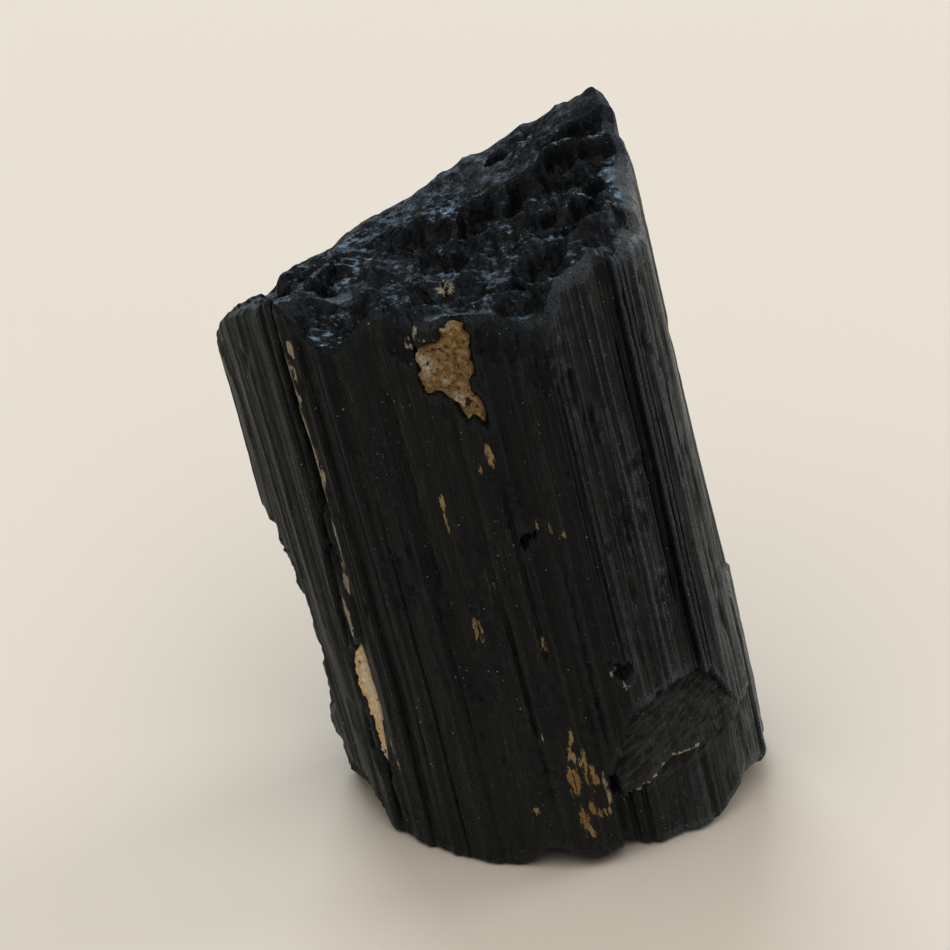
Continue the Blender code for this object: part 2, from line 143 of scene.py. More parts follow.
SCAR_SLOPE = 0.17
SCAR_RIPPLES = (62.0, 6.5, 1.7, 0.05)  # middle w and z, spacing, height
CHIPS = [  # w, z, half width, half height, depth, roughness
    (29.2, 41.6, 2.4, 1.5, 0.5, 0.2), (29.4, 15.5, 3.8, 10.5, 1.9, 0.3), (29.5, 3, 2.6, 5, 0.8, 0.2),
    (33, 0.5, 3, 3.2, 0.9, 0.2), (60.4, 17.2, 1, 1.3, 0.8, 0.3), (55.6, 30.2, 0.5, 0.5, 0.7, 0.1),
    (62.2, 4.8, 1, 1.5, 1, 0.1), (64.4, 4.4, 1.5, 2, 0.5, 0.1), (57.4, 7, 0.5, 1.6, 2.2, 0.1),
    (12, 14, 3.5, 6, 1, 0.15), (5, 34, 2.5, 5, 0.7, 0.15), (87, 22, 2.4, 7, 0.8, 0.15),
    (20, 33, 2, 5, 0.6, 0.15), (16, 2, 4, 3, 1, 0.2), (84, 2, 3, 3, 1, 0.2),
]
FOOT_EDGE = [  # w, z: where the broken foot's edge stands clear of the floor
    (0, 0), (27, 0), (30, 0.4), (33, 0.2), (36, 0), (49, 0), (49.9, 0.7), (50.9, 1.7), (51.8, 2), (52.7, 1.5),
    (53.6, 0.8), (54.4, 0.5), (55.6, 0.6), (56.6, 1.2), (57.4, 0.9), (58.2, 0), (62.4, 0), (64.6, 0),
    (66.6, 0.3), (68, 1.2), (69.6, 2), (73.6, 2.2), (76, 1), (79, 0.3), (82, 0), (94, 0),
]
FOOT_REACH = 3.5  # how far the edge's height is felt inwards
FOOT_HOLLOWS = 0.5
FLARE = [(34, 0), (38, 0.7), (48, 0.6), (56, 0.2), (60, 0)]  # w and how far the foot spreads
FLARE_HEIGHT = 14.0
FOOT_ROUNDING = [  # w, radius
    (0, 1.2), (26, 1.5), (30, 2), (36, 1), (40, 0.5), (49, 0.4), (54, 1), (57, 0.9), (60, 0.5), (68, 0.7),
    (72, 1.6), (77, 2.2), (82, 1.5), (94, 1.2),
]
RIM_ROUNDING = [  # w, radius
    (0, 0.3), (26, 0.4), (30, 1.2), (34, 0.6), (40, 0.3), (47, 0.3), (50, 0.9), (55, 0.7), (60, 1.5),
    (62.5, 0.5), (68, 0.4), (71, 1.2), (80, 1.4), (84, 0.8), (94, 0.3),
]
RIBS = [  # first w, last w, lowest z, highest z, height
    (51, 52.6, 45.8, 60, 0.35), (73.5, 79, 0, 18, 0.45), (67.2, 68.3, 13, 60, 0.3),
]
TOP_FORMS = [  # u, v, half width, half depth, rise, hardness
    (-8.8, 1.2, 2.4, 3.6, 0.9, 0.8), (-8.2, -4.4, 2.6, 2.4, -1.3, 0.5), (-6.6, -10.4, 3, 2.4, -1, 0.4),
    (-2.6, -10.6, 1, 1.8, 0.5, 0.8), (-13.6, -3.6, 2.2, 2.4, 0.2, 0.7), (-3, -4, 3.4, 3.6, 0.8, 0.3),
    (13, -1.2, 1.05, 0.9, 1.3, 0.35), (14, 0.4, 1, 0.8, -0.9, 0.4), (13.6, -7, 1.4, 2.4, 0.4, 0.5),
    (9.4, -7.4, 2.6, 2.2, -1.5, 0.3), (2, -9.8, 3.4, 2.2, -0.9, 0.3), (5, -3.6, 3.4, 3, -0.9, 0.3),
    (11.8, 3.5, 1.8, 1.5, 0.8, 0.75), (11.8, 3.4, 1.2, 0.9, -1.3, 0.7), (13.6, 5.6, 3.4, 0.9, -0.9, 0.7),
    (15.6, -0.6, 1.6, 3.8, 0.5, 0.7), (6.4, 8.2, 1.1, 0.8, -0.7, 0.5), (9.6, -1.4, 1.3, 1, 0.9, 0.4),
    (8, -3.6, 0.9, 0.8, 0.6, 0.4), (11.6, -3.2, 0.9, 0.7, -0.8, 0.4), (6.9, 2.6, 0.7, 1.6, 0.9, 0.4),
    (15.9, 9.4, 1.1, 1, 0.5, 0.7),
]
WALL = [  # u, v, height and breadth of the fall in front of the far terrace
    (-16, 4, 0, 3), (-8, 5.5, 0.4, 3.5), (-3.4, 5.4, 1.2, 3.5), (-2.7, 4.6, 1.5, 1.3), (0, 4.2, 1.5, 1.3),
    (0.7, 4.2, 1.9, 3.2), (2.6, 4.2, 2.2, 3.2), (3.2, 4, 2.5, 1.2), (5.7, 4, 2.5, 1.2), (6.3, 4, 2.2, 2.6),
    (7.3, 4, 2.2, 2.6), (7.8, 4.2, 2, 1.3), (10.3, 4.2, 1.8, 1.3), (11.2, 4.3, 1.4, 1.8), (13, 4.3, 1.2, 0.6),
    (16.8, 4.5, 1.2, 0.6), (18, 4.5, 1, 0.6),
]
WALL_FOOT_REACH = 11.0
LEDGES_ACROSS = Vector((-0.325, 0.946))  # the way that the top's thin ledges follow one another
LEDGE_WIDTH = 0.9
SMOOTH_FACETS = [  # u, v, half width, half depth
    (13.8, 7.4, 3.6, 2.2), (15.6, 1.6, 1.4, 1.2), (-14, 1, 3, 3.4), (-5.6, -6.4, 1.6, 1.4), (5, 7, 3, 2),
]

PATCH = [
    (51.4, 47), (51, 46.5), (50.8, 46.1), (50.8, 45.6), (50.9, 44.8), (50.6, 44.3), (50.8, 43.5), (51, 42.9),
    (51.7, 43.1), (52.1, 43), (52.5, 42.5), (53, 42), (53.1, 41.3), (53.5, 40.5), (54, 40.9), (54.3, 40.5),
    (54.7, 40), (54.9, 41), (54.8, 42.1), (54.3, 42.9), (54.3, 43.9), (54.7, 44.3), (54.8, 44.9),
    (54.8, 46.4), (55.1, 47.4), (54.8, 48), (54.9, 48.6), (54.2, 48.8), (53, 48.4), (52.8, 47.9),
    (53.1, 47.6), (52.7, 47.3), (52, 47.2),
]
SEAM = [
    (38.6, 5.3), (38, 5.8), (37.6, 6.6), (37.7, 7.6), (37.1, 7.7), (37, 8.6), (37.2, 10.6), (37.4, 11.8),
    (37.2, 13.6), (37.2, 15.4), (37.6, 16.5), (38.3, 17.4), (39.1, 18.4), (39.2, 16.8), (39.2, 14.8),
    (39.4, 12.6), (39.3, 10.6), (39.1, 9), (38.9, 7.4), (38.9, 6.2),
]
RECESSES = [(PATCH, 0.55, 0.25), (SEAM, 0.45, 0.2)]  # outline, depth, half the breadth of its sides
PATCH_CRUST = {"spacing": 0.08, "depth": 0.5, "proud": 0.05, "grain": 0.12, "seed": 81}
SEAM_CRUST = {"spacing": 0.12, "depth": 0.42, "proud": 0.02, "grain": 0.02, "seed": 83}
CRUST_EDGES = (-0.25, -0.3)  # how far out the edges of a crust's outer and inner side lie
FRAY = 0.13
TOP_HIGHLIGHT_SPOTS = [  # u, v, half width, half depth, how strongly the broken top's up-facing facets are painted with highlight there
    (-4.6, 0, 3.6, 4.6, 1), (-6.6, -10.4, 2.8, 2, 0.9), (2, 3.6, 1.9, 1.4, 0.9), (8, 8.4, 3.6, 1, 0.4),
    (15, 3.9, 2.2, 0.9, 1), (11.8, 3.5, 1.9, 1.7, 0.7), (13, -1.2, 1.1, 1, 1), (15.9, -2, 1.3, 5.6, 0.8),
    (9.8, -2.2, 2.4, 1.8, 0.9), (7.2, -1.4, 1.6, 2.6, 0.5), (5.6, -9.6, 2.6, 1.2, 0.5),
    (12.4, -8.6, 2.2, 1, 0.7), (-12.6, 0.4, 3.2, 5, 0.7), (15.9, 9.8, 0.8, 0.7, 0.8), (-6, 5.6, 4, 1.2, 0.7),
    (0, -6.4, 2.4, 2, 0.3),
]
# Painted highlight on the rest of the broken top, and the lowest height where it is painted
TOP_HIGHLIGHT_ELSEWHERE = 0.22
LOWEST_TOP_HIGHLIGHT = 30
LEDGE_HIGHLIGHT_SPAN = (57.2, 65.5)  # first and last w of the painted highlight along the ledge's edge, drawn in the cream stain's colour
DUST_AND_RIM_SHEEN = [  # w, how much pale dust lies there; the high amounts from w 72 to 79 also paint a sheen along the right-hand silhouette, as if its edge caught grazing light
    (0, 0.4), (28, 0.1), (38, 0.12), (46, 0.05), (60, 0.1), (62, 0.75), (65.6, 0.9), (66.2, 0.2), (67.2, 0.3),
    (67.5, 1), (70, 1), (72, 1.7), (75, 1.9), (79, 1.1), (83, 0.5), (94, 0.4),
]
TOP_CREAM = [  # u, v, half width, half depth
    (2.3, -7.8, 0.75, 0.45), (2.1, -6.2, 0.35, 0.8), (1.6, -9.4, 0.3, 0.4), (2.4, -11.6, 0.25, 0.5),
]
RIDGES = [  # w, lowest z, highest z, height, half width
    (62.5, 14, 47, 0.16, 0.08), (63.3, 20, 46, 0.1, 0.06), (64.2, 15, 49, 0.16, 0.08),
    (65, 17, 49, 0.14, 0.07), (66.1, 18, 50, 0.16, 0.08), (67.5, 16, 51, 0.2, 0.08),
    (67.9, 14, 52, 0.24, 0.09), (68.5, 12, 52, 0.16, 0.07), (69.4, 9, 52, 0.18, 0.08),
    (61.4, 18, 44, 0.1, 0.07), (57.9, 26, 46, 0.06, 0.1), (42.6, 3, 45, 0.12, 0.12), (44.8, 0, 30, 0.1, 0.12),
    (41.2, 8, 46, 0.12, 0.1), (40.3, 2, 47, 0.14, 0.1), (46.9, 0, 20, 0.08, 0.12),
]
PALER = [  # w, z, half width, half height: where the pale minerals are nearly white
    (51.4, 45.4, 0.7, 1), (53.2, 42.6, 0.4, 0.6), (52.6, 44.2, 0.3, 0.5), (53.4, 48.4, 0.7, 0.3),
    (37.9, 7, 0.9, 1.6), (39.2, 9, 0.4, 4.5), (38.6, 14.6, 0.4, 3),
]
OCHRE = [  # w, z, half width, half height
    (54.4, 37.6, 0.4, 1.2), (53.3, 36.5, 0.25, 0.5), (49.9, 33.3, 0.25, 1.2), (49.8, 31.8, 0.12, 1.6),
    (56.5, 31.3, 0.16, 0.8), (57.3, 31, 0.14, 1), (58.2, 30.4, 0.4, 0.5), (50, 21.8, 0.35, 1.7),
    (54.7, 20.5, 0.22, 1.5), (54.9, 12.2, 0.3, 1), (54.6, 10.6, 0.35, 1), (54.4, 8.2, 0.6, 2),
    (55.6, 9.2, 0.55, 1.9), (55.9, 7.8, 0.5, 0.9), (54.4, 4.8, 0.45, 2), (54.8, 3.2, 0.3, 0.9),
    (56, 5.2, 0.7, 0.7), (55.3, 5.8, 0.3, 0.8), (50.8, 5.4, 0.3, 0.5), (52, 26.2, 0.4, 0.7),
]
CREAM = [  # w, z, half width, half height
    (39.9, 45.4, 0.5, 0.9), (40, 43, 0.65, 1.7), (40.8, 44.8, 0.3, 0.8), (40, 40.4, 0.5, 0.9),
    (39.9, 37.6, 0.4, 2.2), (40.2, 34.4, 0.4, 2.2), (39.9, 31.6, 0.4, 2), (39.8, 28, 0.34, 2.4),
    (39.4, 24.3, 0.3, 1.6), (38.8, 20.6, 0.36, 2), (51.3, 48.2, 0.2, 0.25), (51, 47.7, 0.25, 0.3),
    (50.5, 47.2, 0.2, 0.25), (50.3, 46.6, 0.2, 0.4), (50.3, 45.5, 0.15, 0.3), (51.7, 47.6, 0.35, 0.25),
    (49.9, 47.6, 0.12, 0.2), (59.5, 17.6, 0.5, 0.4), (60.2, 16, 0.35, 0.5), (56.7, 6.9, 0.26, 2),
    (50.6, 46.6, 0.2, 0.3), (39.8, 9, 0.2, 1.2), (40, 7.4, 0.2, 1), (52.8, 12.6, 0.12, 0.6),
    (55.2, 15, 0.1, 0.4),
]


# ---- Plain maths ----
def closed_outline(corners, rounding, samples=2400):
    """The corners joined by straight runs and rounded: perimeter, positions on it, and (u, v) there."""
    loop = np.array(corners + corners[:1], float)
    lengths = np.linalg.norm(np.diff(loop[:, :2], axis=0), axis=1)
    run = np.concatenate([[0], np.cumsum(lengths)])
    at = np.linspace(0, run[-1], samples, endpoint=False)
    places = np.stack([np.interp(at, run, loop[:, k]) for k in range(2)], axis=1)
    reach = int(rounding / run[-1] * samples)
    shifts = range(-reach, reach + 1)
    places = sum(np.roll(places, k, axis=0) for k in shifts) / len(shifts)
    return run[-1], at, places


PERIMETER, OUTLINE_AT, OUTLINE = closed_outline(CORNERS, CORNER_ROUNDING)


def outline_at(w):
    """u, v and rim height at perimeter positions w."""
    w = np.mod(w, PERIMETER)
    u, v = (np.interp(w, OUTLINE_AT, OUTLINE[:, k], period=PERIMETER) for k in range(2))
    return u, v, stretches(w, RIM)


def outward_at(w):
    """The section's outward normal at perimeter positions w."""
    ahead, behind = outline_at(w + NORMAL_REACH), outline_at(w - NORMAL_REACH)
    along_u, along_v = ahead[0] - behind[0], ahead[1] - behind[1]
    length = np.hypot(along_u, along_v)
    return along_v / length, -along_u / length


def fractal(x, y, z, size, seed, octaves=3):
    """Fractal noise, about -1 to 1, with features of this size, for arrays of coordinates."""
    shift = np.array([17.3, 5.1, 9.7]) * seed
    points = np.stack(np.broadcast_arrays(x, y, z), axis=-1) / size + shift
    values = [noise.fractal(point, 1.0, 2.0, octaves) for point in points.reshape(-1, 3)]
    return np.array(values).reshape(points.shape[:-1])


def smooth_step(x, low, high):
    t = np.clip((x - low) / (high - low), 0, 1)
    return t * t * (3 - 2 * t)


def bump(x, y, centre_x, centre_y, half_x, half_y, hardness=0.55):
    """1 over a flat-topped oval, falling to 0 outside it."""
    r = np.hypot((x - centre_x) / half_x, (y - centre_y) / half_y)
    return 1 - smooth_step(r, hardness, 1.1)


def distance_inside(x, y, outline):
    """Distance to the nearest side of an outline: positive inside it and negative outside."""
    best = np.full(np.shape(x), 1e9)
    inside = np.zeros(np.shape(x), bool)
    for (ax, ay), (bx, by) in zip(outline, outline[1:] + outline[:1]):
        dx, dy = bx - ax, by - ay
        t = np.clip(((x - ax) * dx + (y - ay) * dy) / (dx * dx + dy * dy), 0, 1)
        best = np.minimum(best, np.hypot(x - ax - t * dx, y - ay - t * dy))
        crosses = (ay > y) != (by > y)
        if dy:
            inside ^= crosses & (x < ax + (y - ay) * dx / dy)
    return np.where(inside, best, -best)


CELL_TABLE = 256


def near_cells(x, y, size, seed):
    """For each of the nine cells round each place: the way from its middle, and three numbers of its own."""
    numbers = np.random.default_rng(seed).uniform(-1, 1, (CELL_TABLE, CELL_TABLE, 5))
    column, row = np.floor(x / size).astype(int), np.floor(y / size).astype(int)
    for step_x in (-1, 0, 1):
        for step_y in (-1, 0, 1):
            own = numbers[(column + step_x) % CELL_TABLE, (row + step_y) % CELL_TABLE]
            middle_x = (column + step_x + 0.5 + 0.45 * own[..., 0]) * size
            middle_y = (row + step_y + 0.5 + 0.45 * own[..., 1]) * size
            yield x - middle_x, y - middle_y, own[..., 2:]


def scoops(x, y, size, depth, tilt, seed):
    """Shallow tilted bowls that meet in sharp ridges, as on broken glass."""
    lowest = np.full(np.shape(x), np.inf)
    for dx, dy, own in near_cells(x, y, size, seed):
        bowl = 4 * depth * (dx * dx + dy * dy) / size ** 2 + 0.4 * depth * own[..., 0]
        lowest = np.minimum(lowest, bowl + tilt * (own[..., 1] * dx + own[..., 2] * dy))
    return lowest - 0.5 * depth


def grains(x, y, size, seed):
    """Rounded grains packed side by side: their height, up to about 1, and each one's own tone, 0 to 1."""
    height, tone = np.full(np.shape(x), -1.0), np.zeros(np.shape(x))
    for dx, dy, own in near_cells(x, y, size, seed):
        dome = 1 - (dx * dx + dy * dy) / (0.4 * size * size) + 0.4 * own[..., 0]
        tone = np.where(dome > height, 0.5 + 0.5 * own[..., 1], tone)
        height = np.maximum(height, dome)
    return height, tone


# ---- The crystal's side ----
def flute_relief(w):
    """The level of the wide flutes at perimeter positions w."""
    rng = np.random.default_rng(11)
    edges, levels = [0.0], []
    for end, narrowest, widest, relief in FLUTES:
        while edges[-1] < end:
            edges.append(edges[-1] + rng.uniform(narrowest, widest))
            levels.append(rng.uniform(-relief, relief * 0.6))
    edges = np.array(edges) * PERIMETER / edges[-1]
    starts, ends = edges[:-1] + FLUTE_STEP, edges[1:] - FLUTE_STEP
    return np.interp(w, np.stack([starts, ends], axis=1).ravel(), np.repeat(levels, 2), period=PERIMETER)


def striae(w, z, seed, narrowest, widest, relief, run):
    """Narrow ribs side by side. Each one's level changes where another growth step ends it."""
    rng = np.random.default_rng(seed)
    out = np.zeros_like(z)
    edge = 0.0
    while edge < PERIMETER:
        width = rng.uniform(narrowest, widest)
        ends = np.sort(rng.uniform(-10, 60, max(1, int(rng.poisson(70 / run)))))
        levels = rng.normal(0, relief, len(ends) + 1)
        crown = rng.uniform(0, relief)
        columns = np.nonzero((w >= edge) & (w < edge + width))[0]
        if len(columns):
            across = (w[columns] - edge) / width * 2 - 1
            out[columns] = levels[np.searchsorted(ends, z[columns])] + crown * (1 - across[:, None] ** 2)
        edge += width
    return out


def stretches(w, parts):
    """A value along the perimeter, given as (w, value) corners."""
    return np.interp(w, [p[0] for p in parts], [p[1] for p in parts])


def rounded_stretches(w, parts, reach=0.8):
    """The same, with its corners rounded."""
    return sum(stretches(w + shift * reach, parts) for shift in (-1, -0.5, 0, 0.5, 1)) / 5


def pits(w, z, seed, count, smallest, largest, depth, first, last):
    """Small pits, longer than they are wide."""
    rng = np.random.default_rng(seed)
    out = np.zeros_like(z)
    for _ in range(count):
        centre_w, centre_z = rng.uniform(first, last), rng.uniform(0.5, 50)
        half = rng.uniform(smallest, largest)
        stretch = rng.uniform(1.0, 4.0)
        deep = rng.uniform(0.3, 1.0) * depth
        columns = np.nonzero(np.abs(w - centre_w) < half * 1.2)[0]
        if len(columns):
            pit = bump(w[columns, None], z[columns], centre_w, centre_z, half, half * stretch, 0.2)
            out[columns] -= deep * pit
    return out


def crests(w, z, seed):
    """Thin ridges along the crystal, each fading in and out."""
    rng = np.random.default_rng(seed)
    out = np.zeros_like(z)
    for first, last, number, height, half_width in CRESTS:
        for _ in range(number):
            at = rng.uniform(first, last)
            middle, half_run = rng.uniform(*CREST_MIDDLES), rng.uniform(*CREST_HALF_RUNS)
            tall, half = height * rng.uniform(0.5, 1.0), half_width * rng.uniform(0.7, 1.4)
            profile = np.exp(-((w - at) / half) ** 2)[:, None]
            fading = 1 - smooth_step(np.abs(z - middle), 0.7 * half_run, half_run)
            out = np.maximum(out, tall * profile * fading)
    for at, bottom, top, tall, half in RIDGES:
        run = smooth_step(z, bottom - FADE, bottom + FADE) * (1 - smooth_step(z, top - FADE, top + FADE))
        out = np.maximum(out, tall * run * np.exp(-((w - at) / half) ** 2)[:, None])
    return out


def furrows(w, z, shift):
    """Narrow dark furrows along the crystal, with ragged sides."""
    out = np.zeros_like(z)
    for at, bottom, top, half, depth in FURROWS:
        run = smooth_step(z, bottom, bottom + FADE) * (1 - smooth_step(z, top - FADE, top))
        across = np.abs(w[:, None] + 0.5 * half * shift - at)
        out = np.maximum(out, depth * run * (1 - smooth_step(across, 0.4 * half, half)))
    return out


def side_relief(w, z, rim):
    """How far the side stands out of the plain section, for columns w and an array z of heights on each."""
    u, v, _ = outline_at(w)
    u, v, column_w = u[:, None], v[:, None], w[:, None]
    rough = fractal(u, v, z * 0.6, 2.2, 21)
    warp = fractal(u, v, z * 0.8, 1.1, 22, 2)
    gritty = fractal(u, v, z * 0.7, 0.45, 23, 2)
    broken_w, broken_z = column_w + 0.35 * warp + 0.2 * gritty, z + 0.8 * rough + 0.5 * gritty

    relief = np.repeat(flute_relief(w)[:, None], z.shape[1], axis=1)
    relief += 0.3 * fractal(u, v, z * 0.15, 4.0, 3)
    relief += stretches(w, FLARE)[:, None] * np.clip(1 - z / FLARE_HEIGHT, 0, 1)
    ledge_z = stretches(w, LEDGE)[:, None] + 0.3 * warp
    under = 1 - smooth_step(z, ledge_z - 0.3, ledge_z)
    under *= smooth_step(column_w, 56.8, 57.4) * (1 - smooth_step(column_w, 71, 74))
    fine = stretches(w, FINE_STRENGTH)[:, None] * (1 - 0.7 * under)
    for layer in STRIAE:
        relief += fine * striae(w, z, *layer)
    relief += (1 - 0.8 * under) * crests(w, z, 33) - furrows(w, z, 0.5 * warp + 0.5 * gritty)
    grit_patches = smooth_step(fractal(u, v, z * 0.3, 5.0, 24), -0.2, 0.3)
    relief += 0.04 * rough + 0.025 * warp + 0.018 * gritty * grit_patches

    left_start, left_end = LEFT_CRYSTAL
    relief += LEFT_CRYSTAL_STEP * smooth_step(column_w, left_start, left_start + 1) * (column_w < left_end)
    groove_w = np.interp(z, [p[1] for p in GROOVE], [p[0] for p in GROOVE]) + 0.15 * warp + 0.08 * gritty
    groove = 1 - smooth_step(np.abs(column_w - groove_w), 0.25 * GROOVE_HALF_WIDTH, GROOVE_HALF_WIDTH)
    relief -= GROOVE_DEPTH * groove * (0.35 + 0.65 * smooth_step(z, 16, 21))
    for centre_w, centre_z, half_w, half_z, depth in TORN:
        torn = bump(broken_w, broken_z, centre_w, centre_z, half_w, half_z, 0.6)
        relief -= torn * (depth + 0.08 * gritty + scoops(column_w + 0 * z, z * 0.7, 0.5, 0.03, 0.1, 25))
    for first, last, bottom, top, height in RIBS:
        relief += height * ((column_w > first) & (column_w < last) & (broken_z > bottom) & (broken_z < top))
    relief -= under * (stretches(w, LEDGE_DEPTH)[:, None] + LEDGE_UNDERCUT * (1 - np.clip(z / ledge_z, 0, 1)))

    ripple_w, ripple_z, spacing, ripple = SCAR_RIPPLES
    away = np.hypot(broken_w - ripple_w, broken_z - ripple_z)
    shelf = -SCAR_SLOPE * (z - ledge_z) + ripple * np.sin(2 * math.pi * away / spacing)
    shelf = shelf + 0.1 * rough + 0.02 * gritty
    scarred = smooth_step(distance_inside(column_w + 0.25 * gritty, z + 0.6 * warp, SCAR), 0, 0.2)
    relief += scarred * (z > ledge_z - 0.3) * np.minimum(shelf - relief, 0)

    facets = scoops(column_w + 0.4 * warp, z * 0.7 + 0.4 * rough, 1.6, 0.3, 0.12, 26)
    for centre_w, centre_z, half_w, half_z, depth, roughness in CHIPS:
        out = np.hypot((broken_w - centre_w) / half_w, (broken_z - centre_z) / half_z)
        relief = np.minimum(relief, -depth * (1 - out ** 2) + roughness * (rough + 0.5 * warp + 2 * facets))
    relief += sum(pits(w, z, *layer) for layer in PITS)
    wear = 1 + 0.35 * fractal(column_w, 0, 0, 3.0, 4)
    above_foot, below_rim = z - rounded_stretches(w, FOOT_EDGE)[:, None], rim[:, None] - z
    for rounding, height in (FOOT_ROUNDING, above_foot), (RIM_ROUNDING, below_rim):
        radius = stretches(w, rounding)[:, None] * wear
        short = np.clip(1 - height / radius, 0, 1)
        relief -= radius * (1 - np.sqrt(1 - short ** 2 * 0.98)) * (1 + 0.3 * rough + 0.2 * gritty)
    for outline, depth, slope in RECESSES:
        relief -= depth * smooth_step(distance_inside(column_w + 0 * z, z, outline), -slope, slope)
    return relief


# ---- The broken top ----
def top_height(u, v):
    """Height of the broken top: blended from its rim, then broken into terraces, ledges, lumps and scoops."""
    rim_u, rim_v, rim_height = outline_at(np.linspace(0, PERIMETER, 240, endpoint=False))
    distance = (u[:, None] - rim_u) ** 2 + (v[:, None] - rim_v) ** 2
    weight = (distance + RIM_BLUR) ** RIM_FALL
    height = (weight * rim_height).sum(axis=1) / weight.sum(axis=1)
    inner = 0.3 + 0.7 * smooth_step(np.sqrt(distance.min(axis=1)), 0.0, 2.2)

    warp_u = u + 0.5 * fractal(u, v, 0, 1.8, 51) + 0.12 * fractal(u, v, 0, 0.5, 57)
    warp_v = v + 0.4 * fractal(u, v, 5, 1.8, 52) + 0.12 * fractal(u, v, 5, 0.5, 57)
    wall_v, fall, breadth = (np.interp(warp_u, [p[0] for p in WALL], [p[k] for p in WALL]) for k in (1, 2, 3))
    front_v = v + 0.4 * fractal(u, v, 5, 2.6, 52, 2)
    behind = smooth_step(front_v, wall_v - breadth, wall_v)
    height += fall * (behind - 1) * np.clip(1 - (wall_v - v) / WALL_FOOT_REACH, 0, 1)
    for centre_u, centre_v, half_u, half_v, rise, hardness in TOP_FORMS:
        height += rise * bump(warp_u, warp_v, centre_u, centre_v, half_u, half_v, hardness)

    calm = 0.8 + 0.5 * fractal(u, v, 0, 5.0, 58)
    for centre_u, centre_v, half_u, half_v in SMOOTH_FACETS:
        calm *= 1 - 0.85 * bump(warp_u, warp_v, centre_u, centre_v, half_u, half_v, 0.7)
    across = warp_u * LEDGES_ACROSS.x + warp_v * LEDGES_ACROSS.y + fractal(u * 0.4, v, 3, 2.0, 53)
    across = across / LEDGE_WIDTH
    part = across - np.floor(across)
    ledges = 0.3 * (smooth_step(part, 0.55, 1.0) - part)
    broken = scoops(warp_u, warp_v * 1.3, 3.0, 0.5, 0.16, 61)
    broken += scoops(warp_u, warp_v * 1.4, 1.4, 0.13, 0.16, 62)
    broken += 0.05 * grains(warp_u, warp_v * 1.2, 0.9, 63)[0] + scoops(u, v * 1.8, 0.6, 0.05, 0.14, 64)
    height += inner * calm * (behind * (ledges + 0.45 * broken) + (1 - behind) * (broken + 0.5 * ledges))
    height += 0.4 * fractal(u, v, 0, 4.0, 1) + 0.05 * calm * fractal(u, v, 0, 0.5, 2)
    return height


def foot_height(u, v):
    """The broken foot: mostly on the floor, with shallow hollows, and raised near the edge where that is."""
    edge_w = np.arange(0, PERIMETER, 1.0)
    edge_u, edge_v, _ = outline_at(edge_w)
    away = np.hypot(u[:, None] - edge_u, v[:, None] - edge_v)
    edge = (rounded_stretches(edge_w, FOOT_EDGE) * np.clip(1 - away / FOOT_REACH, 0, 1)).max(axis=1)
    return np.maximum(edge, FOOT_HOLLOWS * np.clip(fractal(u, v, 0, 2.5, 71) + 0.05, 0, 1))


def to_frame(u, v, z):
    """Section coordinates as metres in the part's frame."""
    return np.stack([u + LEAN * z, v, z], axis=-1) * MM


def columns():
    """Perimeter positions of the mesh's columns: close together on the front, wider apart on the back."""
    front = np.arange(*FRONT, FRONT_SPACING)
    gap = PERIMETER - (FRONT[1] - FRONT[0])
    back = np.linspace(FRONT[1], FRONT[1] + gap, int(gap / BACK_SPACING), endpoint=False)
    return np.sort(np.mod(np.concatenate([front, back]), PERIMETER))


def side_places(w, z, rim):
    """(u, v) of places on the finished side, for an array z of heights on columns w."""
    u, v, _ = outline_at(w)
    normal_u, normal_v = outward_at(w)
    relief = side_relief(w, z, rim)
    return u[:, None] + normal_u[:, None] * relief, v[:, None] + normal_v[:, None] * relief


def settled_rim(w):
    """The rim's height on each column, over the place where the finished side meets the top."""
    u, v, _ = outline_at(w)
    for _ in range(2):
        rim = top_height(u, v)
        places = side_places(w, rim[:, None], rim)
        u, v = places[0][:, 0], places[1][:, 0]
    return top_height(u, v)


def triangulated(x, y, edge_count):
    """Triangles over points, the first of which are the closed edge that holds the others."""
    points = [Vector(point) for point in zip(x, y)]
    _, _, faces, sources, *_ = delaunay_2d_cdt(points, [], [list(range(edge_count))], INSIDE_EDGE, MERGING)
    return [[sources[k][0] for k in face] for face in faces]


def cap(edge_u, edge_v, edge_z, spacing, height, seed):
    """A net of points inside an edge: their coordinates, the edge's first, and triangles that join them."""
    steps = np.arange(-NET_REACH, NET_REACH, spacing)
    net_u, net_v = (axis.ravel() for axis in np.meshgrid(steps, steps))
    jitter = np.random.default_rng(seed).uniform(-0.35, 0.35, (2, len(net_u))) * spacing
    net_u, net_v = net_u + jitter[0], net_v + jitter[1]
    near = distance_inside(net_u, net_v, list(zip(edge_u, edge_v))) > 0.45 * spacing
    net_u, net_v = net_u[near], net_v[near]
    u, v = np.concatenate([edge_u, net_u]), np.concatenate([edge_v, net_v])
    z = np.concatenate([edge_z, height(net_u, net_v)])
    return u, v, z, triangulated(u, v, len(edge_u))


